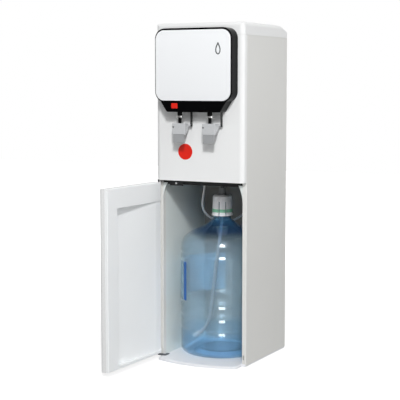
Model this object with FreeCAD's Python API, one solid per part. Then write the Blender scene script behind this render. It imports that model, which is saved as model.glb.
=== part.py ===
import FreeCAD, Part
import math
import os

V = FreeCAD.Vector

# Bottom load water cooler: tall slim cabinet, drink head with two push taps on top, bottle bay
# behind a side-hung door below.  Millimetres.  Origin on the floor under the middle of the
# cabinet, +Z up, front towards -Y, the door hung on the left (-X).

# ---- cabinet -------------------------------------------------------------------------------
width = 300.0             # over the side panels
side_depth = 300.0        # side panels, front flange to rear flange
height = 1045.0           # floor to top of lid
lid_height = 38.0
lid_radius = 12.0         # rounding of its long edges
sheet = 1.2               # painted steel
flange = 13.0             # folded jamb beside the bay
jamb_return = 15.0        # jamb folded back into the bay
rear_return = 9.0
bend = 3.0                # outside bend radius of the sheet
foot_gap = 4.5            # side panels end above the floor
clear = 0.3               # assembly clearance between pieces
moulding = 2.5            # wall of the plastic mouldings

# ---- base ----------------------------------------------------------------------------------
tray_height = 8.0
tray_rim = 3.0
tray_edge = 1.4           # bevel round the top
rib = 2.4
rib_pitch_x = 46.0
rib_pitch_y = 60.0
tongue_half = 136.0       # half width of the bowed foot in front of the door
tongue_side = 46.0        # reach of the foot at its corners
tongue_middle = 67.0      # reach of the foot in the middle
tongue_corner = 16.0

# ---- upper front ---------------------------------------------------------------------------
panel_proud = 21.5        # face of the panel in front of the jambs
panel_corner = 15.0
loom_half = 18.0          # slot for the wires behind the drink head
loom_height = 22.0
loom_drop = 106.0         # top of the slot below the top of the head

# ---- drink head ----------------------------------------------------------------------------
head_width = 260.0
head_drop = 17.0          # top of the head below the top of the lid
head_height = 221.0       # its rounded frame
head_radius = 32.0
head_depth = 40.5         # housing, in front of the upper panel
head_wall = 3.0
chin_height = 30.0        # chin below the frame
chin_half = 90.0
chin_shoulder = 61.0      # the chin starts to narrow this far above its foot
chin_radius = 7.0
face_margin = 4.0         # black border round the white face plate
face_bottom_margin = 4.0
face_thickness = 5.5
face_recess = 2.0
face_edge = 1.4
face_line_inset = 10.0    # fine line inside the edge of the face plate
face_line = 0.8
face_line_depth = 0.5
button_width = 21.0
button_height = 16.0
button_x = -63.0
button_rise = 18.5        # middle of the button above the chin's foot
button_proud = 1.6
button_travel = 2.5
button_stem = 6.0
button_stem_shift = 5.0   # stem beside the middle of the button, clear of the tap
button_gap = 0.4          # running gap round the button

# ---- taps ----------------------------------------------------------------------------------
tap_x = 51.0
tap_reach = 27.5          # tap axis in front of the upper panel
barrel_d = 15.0
barrel_rise = 28.0        # heights of the tap from the chin's foot
collar_d = 20.0
collar_fall = 11.0
collar_height = 5.5
spout_d = 10.0
spout_bore = 6.0
spout_fall = 35.0
stem_d = 12.0
stem_rise = 19.0
nut_flats = 19.0
nut_height = 6.0
arm_thickness = 3.0
arm_depth = 9.0
arm_inside = 29.0         # tap axis to the inner face of an arm
arm_reach = 10.0          # pivot in front of the upper panel
pivot_fall = 40.0
pin_d = 3.0
pin_head_d = 5.6
pin_head = 1.4
lever_half = 22.0
lever_wall = 2.6
lever_fall = 34.0
lever_body = 33.0         # height of the light upper part
paddle_height = 26.0
paddle_half = 20.0
paddle_step = 1.0         # pad behind the lever's front face
paddle_grip = 8.0         # pad clipped behind the front plate
lever_front = 9.5         # lever front plate in front of the tap axis
pivot_boss_d = 9.0

# ---- bottle bay ----------------------------------------------------------------------------
bay_wall = 1.6
bay_back = 130.0          # face of the rear wall of the bay
bay_room = 44.0           # bottle cap to the ceiling of the bay
header_drop = 9.0         # lower edge of the upper front panel above that ceiling
shelf = 2.0
gusset_width = 14.0
gusset_height = 54.0
gusset_plate = 3.4
header_set_back = 4.0     # dark header behind the jamb plane
header_lip = 12.0         # header folded up behind the upper panel
header_fall = 5.0         # and down below the ceiling

# ---- door ----------------------------------------------------------------------------------
door_bottom = 14.0
door_top_gap = 7.0        # door to the upper front panel
door_gap = 2.0            # closed door to the jambs
door_edge_gap = 0.7       # door inside the cabinet width
door_thickness = 28.0
door_liner_edge = 8.0     # inner moulding
door_shell_corner = 9.0
door_open = 92.0          # angle of the door in the modelled pose
pivot_in = 2.0            # door axis from the cabinet side
pivot_out = 9.5           # door axis in front of the jambs
door_pin_d = 6.0
door_pin_gap = 0.3
door_pin_grip = 11.0
hinge_plate = 2.5
hinge_leaf = 46.0         # folded leaf of the upper hinge
hinge_leaf_start = 34.0
hinge_leaf_height = 16.0
high_hinge_length = 92.0
low_hinge_length = 24.0
recess_far = 53.0         # rim beside the free edge
recess_top_rim = 60.0
recess_bottom_rim = 10.0
recess_depth = 21.5
recess_near_depth = 3.0
recess_bead = 36.0
recess_wall = 2.0

# ---- bottle --------------------------------------------------------------------------------
bottle_r = 132.0
bottle_y = -12.0
bottle_wall = 2.2
bottle_straight = 330.0   # top of the straight wall above the tray
shoulder_rise = 42.0      # the shoulder's first corner above the straight wall
shoulder_r = 55.0
shoulder_run = 80.0       # its slope in towards the neck
shoulder_slope = 37.0
cap_rise = 108.0          # lower edge of the cap above the straight wall
bottle_neck_r = 28.0
neck_height = 40.0        # neck above the lower edge of the cap
bottle_foot_r = 20.0
bottle_groove = 3.2
bottle_groove_half = 8.0
bottle_grooves = (82.0, 124.0, 166.0)
top_groove = 8.0          # last groove below the end of the straight wall
cap_r = 33.5
cap_top_r = 30.5
cap_crown = 5.0           # bevel round its top
cap_height = 66.0
cap_wall = 3.0
band_rise = 11.0          # coloured band above the lower edge of the cap
band_height = 10.0
cap_band = 0.9
cap_slit = 3.0
slit_height = 45.0
dip_tube_d = 9.0
dip_bore = 6.0
strainer_x = 88.0         # foot of the dip tube
strainer_z = 54.0
hose_d = 7.0

# ---- cooling and electrical pieces -----------------------------------------------------------
compressor_r = 62.0
compressor_height = 128.0
compressor_wall = 9.0     # thick enough to stand for the weight of the motor
compressor_x = 52.0
compressor_y = 56.0
compressor_foot = 5.0
grommet_d = 18.0
grommet_height = 14.0
cold_tank_r = 58.0
cold_tank_height = 165.0
hot_tank_r = 42.0
hot_tank_height = 150.0
tank_wall = 1.2
cold_tank_wall = 14.0     # foam jacket
shelf_rise = 29.0         # shelf of the tanks above the chin's foot
condenser_width = 236.0
condenser_rise = 35.0     # first run above the lower edge of the upper front panel
condenser_runs = 8
condenser_pitch = 44.0
condenser_tube = 5.0
condenser_wire = 2.0
condenser_wires = 13
condenser_stand = 14.0    # tube centre behind the rear panel
louvre_count = 9
louvre_pitch = 16.0
louvre_half = 26.0
louvre_height = 5.0
rocker_width = 13.0
rocker_height = 20.0
rocker_x = 24.0
rocker_drop = 70.0        # middle of the rockers below the top of the lid
rocker_tilt = 8.0         # each rocker rests tilted, its upper end out
rocker_gap = 0.5
rocker_end_gap = 1.0
rocker_pin_d = 2.0
bezel_wall = 2.0
bezel_rim = 2.0
drain_d = 16.0
drain_cap_d = 24.0
drain_cap_height = 14.0
drain_pipe_d = 9.0
drain_x = -60.0
drain_fall = 52.0         # drain below the shelf of the tanks
gland_d = 12.0
gland_x = 96.0
gland_rise = 12.0
hot_tank_y = -50.0
cold_tank_x = 62.0
cold_tank_y = -30.0
pipe_d = 8.0
screw_d = 6.4
screw_head = 1.8
screw_low = 52.0          # first and last screw from the ends of the rear panel
screw_high = 22.0
screw_shares = (0.0, 0.29, 0.63, 1.0)

# ---- derived positions -----------------------------------------------------------------------
half = width / 2
front = -side_depth / 2
back = side_depth / 2
lid_bottom = height - lid_height
panel_y = front - panel_proud
head_y = panel_y - head_depth
tap_y = panel_y - tap_reach
jamb_x = half - flange
pivot_x = -half + pivot_in
pivot_y = front - pivot_out
rear_y = back - sheet
lever_pivot_y = panel_y - arm_reach
head_top = height - head_drop
head_rim_bottom = head_top - head_height
chin_bottom = head_rim_bottom - chin_height
chin_start = chin_bottom + chin_shoulder
chin_floor = chin_bottom + head_wall
button_z = chin_bottom + button_rise
barrel_top = chin_bottom + barrel_rise
collar_top = chin_bottom - collar_fall
spout_end = chin_bottom - spout_fall
stem_z = chin_bottom + stem_rise
pivot_z = chin_bottom - pivot_fall
lever_top = chin_bottom - lever_fall
cap_bottom = tray_height + bottle_straight + cap_rise
cap_top = cap_bottom + cap_height
bottle_neck_top = cap_bottom + neck_height
cap_band_low = cap_bottom + band_rise
cap_band_high = cap_band_low + band_height
cap_slit_top = cap_bottom + slit_height
bay_ceiling_z = cap_top + bay_room
bay_top = bay_ceiling_z + header_drop
door_top = bay_top - door_top_gap
tank_shelf_z = chin_bottom + shelf_rise
condenser_low = bay_top + condenser_rise
rocker_z = height - rocker_drop
drain_z = tank_shelf_z - drain_fall
gland_z = bay_top + gland_rise

os.makedirs("parts", exist_ok=True)
nodes = {}


def keep(name, shape):
    """Stores one finished piece under its node name."""
    nodes[name] = shape
    return shape


def block(x0, x1, y0, y1, z0, z1):
    return Part.makeBox(x1 - x0, y1 - y0, z1 - z0, V(x0, y0, z0))


def rod(d, start, end):
    a = V(*start)
    b = V(*end)
    return Part.makeCylinder(d / 2, (b - a).Length, a, b - a)


def outline(points):
    """Closed wire in the XY plane from (x, y, radius) corners; a radius of 0 is a sharp corner."""
    edges = []
    starts = []
    ends = []
    count = len(points)
    for i in range(count):
        x, y, r = points[i]
        here = V(x, y, 0)
        before = V(points[i - 1][0], points[i - 1][1], 0) - here
        after = V(points[(i + 1) % count][0], points[(i + 1) % count][1], 0) - here
        if r <= 0:
            starts.append(here)
            ends.append(here)
            edges.append(None)
            continue
        turn = before.getAngle(after)
        reach = r / math.tan(turn / 2)
        a = here + before.normalize() * reach
        b = here + after.normalize() * reach
        bisector = (before + after).normalize()
        middle = here + bisector * (r / math.sin(turn / 2) - r)
        starts.append(a)
        ends.append(b)
        edges.append(Part.Arc(a, middle, b).toShape())
    wire = []
    for i in range(count):
        if edges[i] is not None:
            wire.append(edges[i])
        a = ends[i]
        b = starts[(i + 1) % count]
        if (b - a).Length > 1e-6:
            wire.append(Part.LineSegment(a, b).toShape())
    return Part.Wire(wire)


def plate_z(points, z0, z1):
    """Outline in the floor plane, extruded upwards."""
    face = Part.Face(outline(points))
    face.translate(V(0, 0, z0))
    return face.extrude(V(0, 0, z1 - z0))


def plate_y(points, y0, y1):
    """Outline given as (x, z, radius), extruded along Y."""
    face = Part.Face(outline(points))
    face.rotate(V(0, 0, 0), V(1, 0, 0), 90)
    face.translate(V(0, y0, 0))
    return face.extrude(V(0, y1 - y0, 0))


def plate_x(points, x0, x1):
    """Outline given as (y, z, radius), extruded along X."""
    face = Part.Face(outline(points))
    face.rotate(V(0, 0, 0), V(1, 0, 0), 90)
    face.rotate(V(0, 0, 0), V(0, 0, 1), 90)
    face.translate(V(x0, 0, 0))
    return face.extrude(V(x1 - x0, 0, 0))


def spun(points, x, y):
    """Solid of revolution about a vertical axis from (radius, z, corner radius) points."""
    face = Part.Face(outline(points))
    face.rotate(V(0, 0, 0), V(1, 0, 0), 90)
    face.translate(V(x, y, 0))
    return face.revolve(V(x, y, 0), V(0, 0, 1), 360)


def box_corners(x0, x1, y0, y1, r):
    return [(x0, y0, r), (x1, y0, r), (x1, y1, r), (x0, y1, r)]


def mirrored(shape):
    return shape.mirror(V(0, 0, 0), V(1, 0, 0))


def upright_edges(shape, x, y):
    """Vertical edges of a solid that stand at one place in plan."""
    found = []
    for edge in shape.Edges:
        a = edge.Vertexes[0].Point
        b = edge.Vertexes[-1].Point
        if abs(a.x - b.x) + abs(a.y - b.y) > 1e-6:
            continue
        if abs(a.x - x) + abs(a.y - y) < 1e-3:
            found.append(edge)
    return found


# ---- base tray -------------------------------------------------------------------------------
def tray_wire(inset, z=0.0):
    """Floor outline of the base with its bowed foot, drawn in by an inset."""
    side = half - sheet - clear - inset
    rear = back - 2 * sheet - clear - inset
    near = front + inset
    lip = tongue_half - inset
    reach = front - tongue_side + inset
    bow = front - tongue_middle + inset
    r = tongue_corner - inset
    k = r * (1 - math.sqrt(0.5))
    corners = [(side, rear), (-side, rear), (-side, near), (-lip, near), (-lip, reach + r)]
    edges = []
    for a, b in zip(corners, corners[1:]):
        edges.append(Part.LineSegment(V(a[0], a[1], z), V(b[0], b[1], z)).toShape())
    edges.append(Part.Arc(V(-lip, reach + r, z), V(-lip + k, reach + k, z), V(-lip + r, reach, z)).toShape())
    edges.append(Part.Arc(V(-lip + r, reach, z), V(0, bow, z), V(lip - r, reach, z)).toShape())
    edges.append(Part.Arc(V(lip - r, reach, z), V(lip - k, reach + k, z), V(lip, reach + r, z)).toShape())
    corners = [(lip, reach + r), (lip, near), (side, near), (side, rear)]
    for a, b in zip(corners, corners[1:]):
        edges.append(Part.LineSegment(V(a[0], a[1], z), V(b[0], b[1], z)).toShape())
    return Part.Wire(edges)


def tray_form(inset, z0, z1):
    face = Part.Face(tray_wire(inset, z0))
    return face.extrude(V(0, 0, z1 - z0))


edge_z = tray_height - tray_edge
crown = Part.makeLoft([tray_wire(0, edge_z), tray_wire(tray_edge, tray_height)], True, True)
base = tray_form(0, 0, edge_z).fuse(crown)
hollow = tray_form(tray_rim, 0, tray_height - moulding)
ribs = []
span_x = int((half - 12) / rib_pitch_x)
span_y = int((back - 12) / rib_pitch_y)
for i in range(-span_x, span_x + 1):
    ribs.append(block(i * rib_pitch_x - rib / 2, i * rib_pitch_x + rib / 2,
                      front - tongue_middle, back, 0, tray_height))
for i in range(-span_y - 1, span_y + 1):
    ribs.append(block(-half, half, i * rib_pitch_y - rib / 2, i * rib_pitch_y + rib / 2,
                      0, tray_height))
hollow = hollow.cut(ribs)
base = base.cut(hollow)
base = base.removeSplitter()
keep("base_tray", base)


# ---- side panels -----------------------------------------------------------------------------
def side_panel():
    """Right side panel: folded sheet with a jamb flange in front and a return behind."""
    top = lid_bottom - clear
    outer = block(jamb_x, half, front, back, foot_gap, top)
    outer = outer.makeFillet(bend, upright_edges(outer, half, front) + upright_edges(outer, half, back))
    inner = block(jamb_x + sheet, half - sheet, front + sheet, back - sheet, 0, height)
    inner_r = bend - sheet
    corners = upright_edges(inner, half - sheet, front + sheet)
    inner = inner.makeFillet(inner_r, corners + upright_edges(inner, half - sheet, back - sheet))
    mouth = block(jamb_x - 1, jamb_x + 2 * sheet, front + jamb_return, back - rear_return, 0, height)
    over_tray = block(jamb_x - 1, half - sheet, front - 1, front + jamb_return + 1, 0, tray_height + clear)
    over_rear = block(jamb_x - 1, jamb_x + 2 * sheet, back - rear_return - 1, back - sheet, 0, tray_height + clear)
    return outer.cut([inner, mouth, over_tray, over_rear])


panel = side_panel()
catch_slot = block(jamb_x + 4, jamb_x + 7, front - 1, front + sheet + 1, 21, 36)
keep("right_side_panel", panel.cut(catch_slot))
keep("left_side_panel", mirrored(panel))

# ---- rear panel with louvres -----------------------------------------------------------------
rear_half = jamb_x - clear
rear_low = tray_height + clear
rear = block(-rear_half, rear_half, rear_y - sheet, rear_y, rear_low, lid_bottom - clear)
slots = []
for k in range(louvre_count):
    z = bay_top + 28 + k * louvre_pitch
    for x in (-70.0, 0.0, 70.0):
        slots.append(block(x - louvre_half, x + louvre_half, rear_y - 5, rear_y + 5, z, z + louvre_height))
rear = rear.cut(slots)
bezel_w = rocker_width / 2 + rocker_gap + bezel_wall
bezel_h = rocker_height / 2 + rocker_end_gap + bezel_wall
for side in (-1, 1):
    x = side * rocker_x
    rear = rear.cut(block(x - bezel_w - clear, x + bezel_w + clear, rear_y - 5, rear_y + 5,
                          rocker_z - bezel_h - clear, rocker_z + bezel_h + clear))
rear = rear.cut(rod(drain_d + 2 * clear, (drain_x, rear_y - 9, drain_z), (drain_x, rear_y + 9, drain_z)))
rear = rear.cut(rod(gland_d + 2 * clear, (gland_x, rear_y - 9, gland_z), (gland_x, rear_y + 9, gland_z)))
keep("rear_panel", rear)


# ---- lid -------------------------------------------------------------------------------------
def lid_form(inset):
    """Lid: side, front and plan outlines crossed, with a long fall to the rear."""
    f = panel_y + inset
    b = back - inset
    t = height - inset
    w = half - inset
    side = [(f, lid_bottom, 0), (f, t, 12.0), (b - 62, t, 60.0), (b, t - 22, 12.0), (b, lid_bottom, 0)]
    across = [(-w, lid_bottom, 0), (-w, t, lid_radius - inset), (w, t, lid_radius - inset), (w, lid_bottom, 0)]
    plan = [(-w, f, panel_corner - inset), (w, f, panel_corner - inset), (w, b, bend), (-w, b, bend)]
    solid = plate_x(side, -w, w).common(plate_y(across, f, b))
    return solid.common(plate_z(plan, lid_bottom, t))


lid = lid_form(0).cut(lid_form(moulding))
keep("top_lid", lid)


# ---- upper front panel -----------------------------------------------------------------------
def wrap(inset, z0, z1):
    """Upper front panel form: flat face with rounded upright corners."""
    r = panel_corner - inset
    pts = [(-half + inset, front - clear, 0), (-half + inset, panel_y + inset, r),
           (half - inset, panel_y + inset, r), (half - inset, front - clear, 0)]
    return plate_z(pts, z0, z1)


shell = wrap(0, bay_top, lid_bottom - clear)
cavity = wrap(moulding, bay_top + moulding, height)
stem_holes = []
for side in (-1, 1):
    stem_holes.append(rod(stem_d + 2 * clear, (side * tap_x, panel_y - 3, stem_z), (side * tap_x, front, stem_z)))
loom_top = head_top - loom_drop
loom_slot = plate_y(box_corners(-loom_half, loom_half, loom_top - loom_height, loom_top, 8), panel_y - 2, panel_y + 6)
keep("upper_front_panel", shell.cut([cavity, loom_slot] + stem_holes))


# ---- drink head ------------------------------------------------------------------------------
def head_form(inset, y0, y1):
    """Rounded front frame with the narrowing chin below it."""
    w = head_width / 2 - inset
    r = head_radius - inset
    frame = plate_y(box_corners(-w, w, head_rim_bottom + inset, head_top - inset, r), y0, y1)
    slope = (head_width / 2 - chin_half) / (chin_start - chin_bottom)
    bottom = chin_half + slope * inset - inset * math.sqrt(1 + slope * slope)
    low = chin_bottom + inset
    jaw = [(-w, head_top - 60, 0), (-w, chin_start, 12.0), (-bottom, low, chin_radius),
           (bottom, low, chin_radius), (w, chin_start, 12.0), (w, head_top - 60, 0)]
    return frame.fuse(plate_y(jaw, y0, y1)).removeSplitter()


def face_form(inset, y0, y1):
    w = head_width / 2 - face_margin - inset
    low = head_rim_bottom + face_bottom_margin + inset
    top = head_top - face_margin - 2 - inset
    return plate_y(box_corners(-w, w, low, top, head_radius - face_margin - inset), y0, y1)


head_back = panel_y - clear / 2
housing = head_form(0, head_y, head_back)
outer_front = [e for e in housing.Edges if abs(e.BoundBox.YMax - head_y) < 1e-6]
housing = housing.makeFillet(1.5, outer_front)
housing = housing.cut(head_form(head_wall, head_y + face_recess + head_wall, panel_y + 5))
housing = housing.cut(face_form(-clear, head_y - 1, head_y + face_recess))
w = button_width / 2 + button_gap
h = button_height / 2 + button_gap
button_hole = plate_y(box_corners(button_x - w, button_x + w, button_z - h, button_z + h, 2.4),
                      head_y - 1, head_y + 9)
chin_holes = []
for side in (-1, 1):
    x = side * tap_x
    chin_holes.append(rod(barrel_d + 2 * clear, (x, tap_y, chin_bottom - 1), (x, tap_y, chin_floor + 1)))
    chin_holes.append(block(x + arm_inside - clear, x + arm_inside + arm_thickness + clear,
                            lever_pivot_y - arm_depth / 2 - clear, lever_pivot_y + arm_depth / 2 + clear,
                            chin_bottom - 1, chin_floor + 1))
housing = housing.cut([button_hole] + chin_holes)
keep("head_housing", housing)

face_y = head_y + face_recess - clear / 2
plate = face_form(0, face_y - face_thickness, face_y)
plate_front = [e for e in plate.Edges if abs(e.BoundBox.YMax - (face_y - face_thickness)) < 1e-6]
plate = plate.makeFillet(face_edge, plate_front)
line_y = face_y - face_thickness
line = face_form(face_line_inset, line_y - 1, line_y + face_line_depth)
line = line.cut(face_form(face_line_inset + face_line, line_y - 2, line_y + 2))
keep("head_face_plate", plate.cut(line))

# red safety button of the hot tap, guided in the chin by its stem
cap_y = head_y - button_proud
cap_rear = head_y + button_travel
button = plate_y(box_corners(button_x - button_width / 2, button_x + button_width / 2,
                             button_z - button_height / 2, button_z + button_height / 2, 2.0), cap_y, cap_rear)
button_edges = [e for e in button.Edges if abs(e.BoundBox.YMax - cap_y) < 1e-6]
button = button.makeChamfer(0.8, button_edges)
stem_x = button_x - button_stem_shift
guide_y = head_y + face_recess + head_wall + clear
guide_end = guide_y + 4.0
button = button.fuse(rod(button_stem, (stem_x, cap_rear - 1, button_z), (stem_x, guide_end + 4, button_z)))
keep("hot_safety_button", button)
guide = block(stem_x - 6.5, stem_x + 6.5, guide_y, guide_end, chin_floor + clear / 2, button_z + 8)
guide = guide.cut(rod(button_stem + 2 * button_gap, (stem_x, guide_y - 1, button_z), (stem_x, guide_end + 1, button_z)))
keep("safety_button_guide", guide)


# ---- taps ------------------------------------------------------------------------------------
def tap_body(x):
    """Tap: upright barrel with its spout, and a threaded stem back through the panel."""
    profile = [(spout_bore / 2, spout_end, 0), (spout_d / 2, spout_end, 0), (spout_d / 2, collar_top, 0),
               (barrel_d / 2, collar_top, 0), (barrel_d / 2, barrel_top, 0), (0, barrel_top, 0),
               (0, collar_top, 0), (spout_bore / 2, collar_top, 0)]
    body = spun(profile, x, tap_y)
    stem = rod(stem_d, (x, tap_y, stem_z), (x, front + 12, stem_z))
    shoulder = rod(stem_d + 5, (x, tap_y, stem_z), (x, panel_y - clear, stem_z))
    return body.fuse([stem, shoulder]).removeSplitter()


def tap_collar(x):
    low = collar_top - collar_height
    ring = [(spout_d / 2 + clear, low, 0), (collar_d / 2, low, 0), (collar_d / 2, collar_top - clear, 0),
            (spout_d / 2 + clear, collar_top - clear, 0)]
    return spun(ring, x, tap_y)


def tap_arm(x):
    """Black yoke: a plate on the chin floor with one arm down to the lever pivot."""
    z0 = chin_floor + clear / 2
    outer = arm_inside + arm_thickness
    seat = block(x - arm_inside, x + outer, tap_y - 2, lever_pivot_y + arm_depth / 2, z0, z0 + 3)
    seat = seat.cut(rod(barrel_d + 2 * clear, (x, tap_y, z0 - 1), (x, tap_y, z0 + 4)))
    arm = plate_x([(lever_pivot_y - arm_depth / 2, z0 + 3, 0),
                   (lever_pivot_y - arm_depth / 2, pivot_z - arm_depth / 2, arm_depth / 2 - 0.05),
                   (lever_pivot_y + arm_depth / 2, pivot_z - arm_depth / 2, arm_depth / 2 - 0.05),
                   (lever_pivot_y + arm_depth / 2, z0 + 3, 0)], x + arm_inside, x + outer)
    yoke = seat.fuse(arm).removeSplitter()
    hole = rod(pin_d, (x + arm_inside - 1, lever_pivot_y, pivot_z), (x + outer + 1, lever_pivot_y, pivot_z))
    return yoke.cut(hole)


def tap_pin(x):
    """Pin held by the arm; it carries the lever and ends in a head beside the lever's other cheek."""
    near = x - lever_half - clear
    far = x + arm_inside + arm_thickness + pin_head
    pin = rod(pin_d, (near, lever_pivot_y, pivot_z), (far, lever_pivot_y, pivot_z))
    return pin.fuse(rod(pin_head_d, (near - pin_head, lever_pivot_y, pivot_z), (near, lever_pivot_y, pivot_z)))


def tap_lever(x):
    """Light moulding: front plate, two swept cheeks to the pivot, open top round the spout."""
    y0 = tap_y - lever_front
    y1 = y0 + lever_wall
    low = lever_top - lever_body
    hub = pivot_boss_d / 2
    cheek = [(y0, low, 1.0), (y0, lever_top, 1.5), (y1 + 4, lever_top, 3.0),
             (lever_pivot_y, pivot_z + hub, hub - 0.05), (lever_pivot_y + hub, pivot_z - 1.0, 2.0),
             (y1 + 3.0, low, 1.5)]
    right = plate_x(cheek, x + lever_half - lever_wall, x + lever_half)
    left = plate_x(cheek, x - lever_half, x - lever_half + lever_wall)
    front_plate = block(x - lever_half, x + lever_half, y0, y1, low, lever_top)
    bearing = rod(pivot_boss_d - 1, (x + lever_half - 1, lever_pivot_y, pivot_z),
                  (x + arm_inside - clear, lever_pivot_y, pivot_z))
    body = front_plate.fuse([right, left, bearing]).removeSplitter()
    uprights = upright_edges(body, x - lever_half, y0) + upright_edges(body, x + lever_half, y0)
    body = body.makeFillet(1.2, uprights)
    hole = rod(pin_d + 2 * clear, (x - lever_half - 1, lever_pivot_y, pivot_z),
               (x + arm_inside, lever_pivot_y, pivot_z))
    return body.cut(hole)


def tap_paddle(x):
    """Darker push pad below the lever body, clipped behind its front plate."""
    low = lever_top - lever_body
    y0 = tap_y - lever_front
    y1 = y0 + lever_wall + clear / 2
    y2 = y1 + lever_wall
    pad = plate_x([(y1, low + paddle_grip, 0.8), (y1, low - clear / 2, 0), (y0 + paddle_step, low - clear / 2, 0),
                   (y0 + paddle_step, low - paddle_height, 1.0), (y0 + paddle_step + lever_wall, low - paddle_height, 1.0),
                   (y2, low - 3.0, 0), (y2, low + paddle_grip, 0.8)], x - paddle_half + 1.6, x + paddle_half - 1.6)
    return pad


for name, side in (("hot", -1), ("cold", 1)):
    x = side * tap_x
    keep(name + "_tap_body", tap_body(x))
    keep(name + "_tap_yoke", tap_arm(x))
    keep(name + "_tap_lever", tap_lever(x))
    keep(name + "_lever_pad", tap_paddle(x))

keep("tap_collars", Part.makeCompound([tap_collar(-tap_x), tap_collar(tap_x)]))
keep("lever_pins", Part.makeCompound([tap_pin(-tap_x), tap_pin(tap_x)]))

nuts = []
for side in (-1, 1):
    pts = []
    for k in range(6):
        a = math.radians(60 * k)
        r = nut_flats / math.sqrt(3)
        pts.append((side * tap_x + r * math.cos(a), stem_z + r * math.sin(a), 0))
    y0 = panel_y + moulding + clear / 2
    nut = plate_y(pts, y0, y0 + nut_height)
    nuts.append(nut.cut(rod(stem_d, (side * tap_x, y0 - 1, stem_z), (side * tap_x, y0 + 9, stem_z))))
keep("tap_nuts", Part.makeCompound(nuts))

# ---- bottle bay ------------------------------------------------------------------------------
wall_x = jamb_x - clear
bay_front = front + jamb_return + clear
right_wall = block(wall_x, wall_x + bay_wall, bay_front, bay_back + bay_wall, tray_height + clear / 2, bay_ceiling_z)
keep("right_bay_wall", right_wall)
keep("left_bay_wall", mirrored(right_wall))
rear_wall = block(-wall_x + clear / 2, wall_x - clear / 2, bay_back, bay_back + bay_wall,
                  tray_height + clear / 2, bay_ceiling_z)
keep("bay_rear_wall", rear_wall)
ceiling_y = front + header_set_back
shelf_z = bay_ceiling_z + clear / 2
shelf_top = shelf_z + shelf
ceiling = block(-half + sheet + clear, half - sheet - clear, ceiling_y, rear_y - sheet - clear, shelf_z, shelf_top)
ceiling = ceiling.fuse(block(-jamb_x + clear, jamb_x - clear, ceiling_y, ceiling_y + shelf,
                             shelf_z - header_fall, bay_top + header_lip))
suction_hole_d = 13.0
hose_hole_x = -75.0
hose_hole_y = 8.0
suction_x = 0.0
suction_y = bottle_y
ceiling = ceiling.cut([rod(suction_hole_d, (suction_x, suction_y, bay_ceiling_z - 2), (suction_x, suction_y, bay_ceiling_z + 9)),
                       rod(suction_hole_d, (hose_hole_x, hose_hole_y, bay_ceiling_z - 2),
                           (hose_hole_x, hose_hole_y, bay_ceiling_z + 9))])
notch = block(jamb_x - clear, half, front, front + jamb_return + clear, 0, height)
rear_notch = block(jamb_x - clear, half, back - rear_return - clear, back, 0, height)
ceiling = ceiling.cut([notch, mirrored(notch), rear_notch, mirrored(rear_notch)])
keep("bay_ceiling", ceiling)


def gusset():
    """Corner plate of the bay opening with a hollow curved edge."""
    x1 = jamb_x - clear
    z1 = bay_ceiling_z - clear / 2
    a = V(x1, 0, z1 - gusset_height)
    b = V(x1 - gusset_width, 0, z1)
    mid = V(x1 - gusset_width * 0.30, 0, z1 - gusset_height * 0.42)
    wire = Part.Wire([Part.Arc(a, mid, b).toShape(), Part.LineSegment(b, V(x1, 0, z1)).toShape(),
                      Part.LineSegment(V(x1, 0, z1), a).toShape()])
    face = Part.Face(wire)
    face.translate(V(0, front, 0))
    return face.extrude(V(0, gusset_plate, 0))


keep("bay_gussets", Part.makeCompound([gusset(), mirrored(gusset())]))


# ---- door, modelled closed and swung open ----------------------------------------------------
def swing(shape):
    shape = shape.copy()
    shape.rotate(V(pivot_x, pivot_y, 0), V(0, 0, 1), -door_open)
    return shape


door_x0 = -half + door_edge_gap - 0.2
door_x1 = half - door_edge_gap
door_in = front - door_gap
door_out = door_in - door_thickness
seam_y = door_in - door_liner_edge
shell = block(door_x0, door_x1, door_out, seam_y, door_bottom, door_top)
posts = upright_edges(shell, door_x0, door_out) + upright_edges(shell, door_x1, door_out)
shell = shell.makeFillet(door_shell_corner, posts)
cover = block(door_x0 + moulding, door_x1 - moulding, door_out + moulding, seam_y + 1,
              door_bottom + moulding, door_top - moulding)
posts = upright_edges(cover, door_x0 + moulding, door_out + moulding)
posts += upright_edges(cover, door_x1 - moulding, door_out + moulding)
cover = cover.makeFillet(door_shell_corner - moulding, posts)
shell = shell.cut(cover)
slot_y = (door_out + seam_y) / 2
top_slots = []
for s in (140.0, 257.0):
    x = pivot_x + s
    top_slots.append(plate_z(box_corners(x - 8, x + 8, slot_y - 2.5, slot_y + 2.5, 2.4), door_top - 4, door_top + 1))
shell = shell.cut(top_slots)
keep("door_shell", swing(shell))


def tub(grow):
    """Recess of the inner door: deep beside the free edge, shallow towards the hinge."""
    far = door_x1 - recess_far
    d = door_in
    pts = [(far + grow, d + 1, 0), (far + grow, d, 0), (far - 4 + grow, d - recess_depth - grow, 3.0),
           (pivot_x + recess_bead, d - recess_near_depth - grow, 0),
           (pivot_x + recess_bead - 9, d - 2.0 - grow, 3.0), (door_x0 - 2, d - 2.0 - grow, 0),
           (door_x0 - 2, d + 1, 0)]
    return plate_z(pts, door_bottom + recess_bottom_rim - grow, door_top - recess_top_rim + grow)


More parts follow.
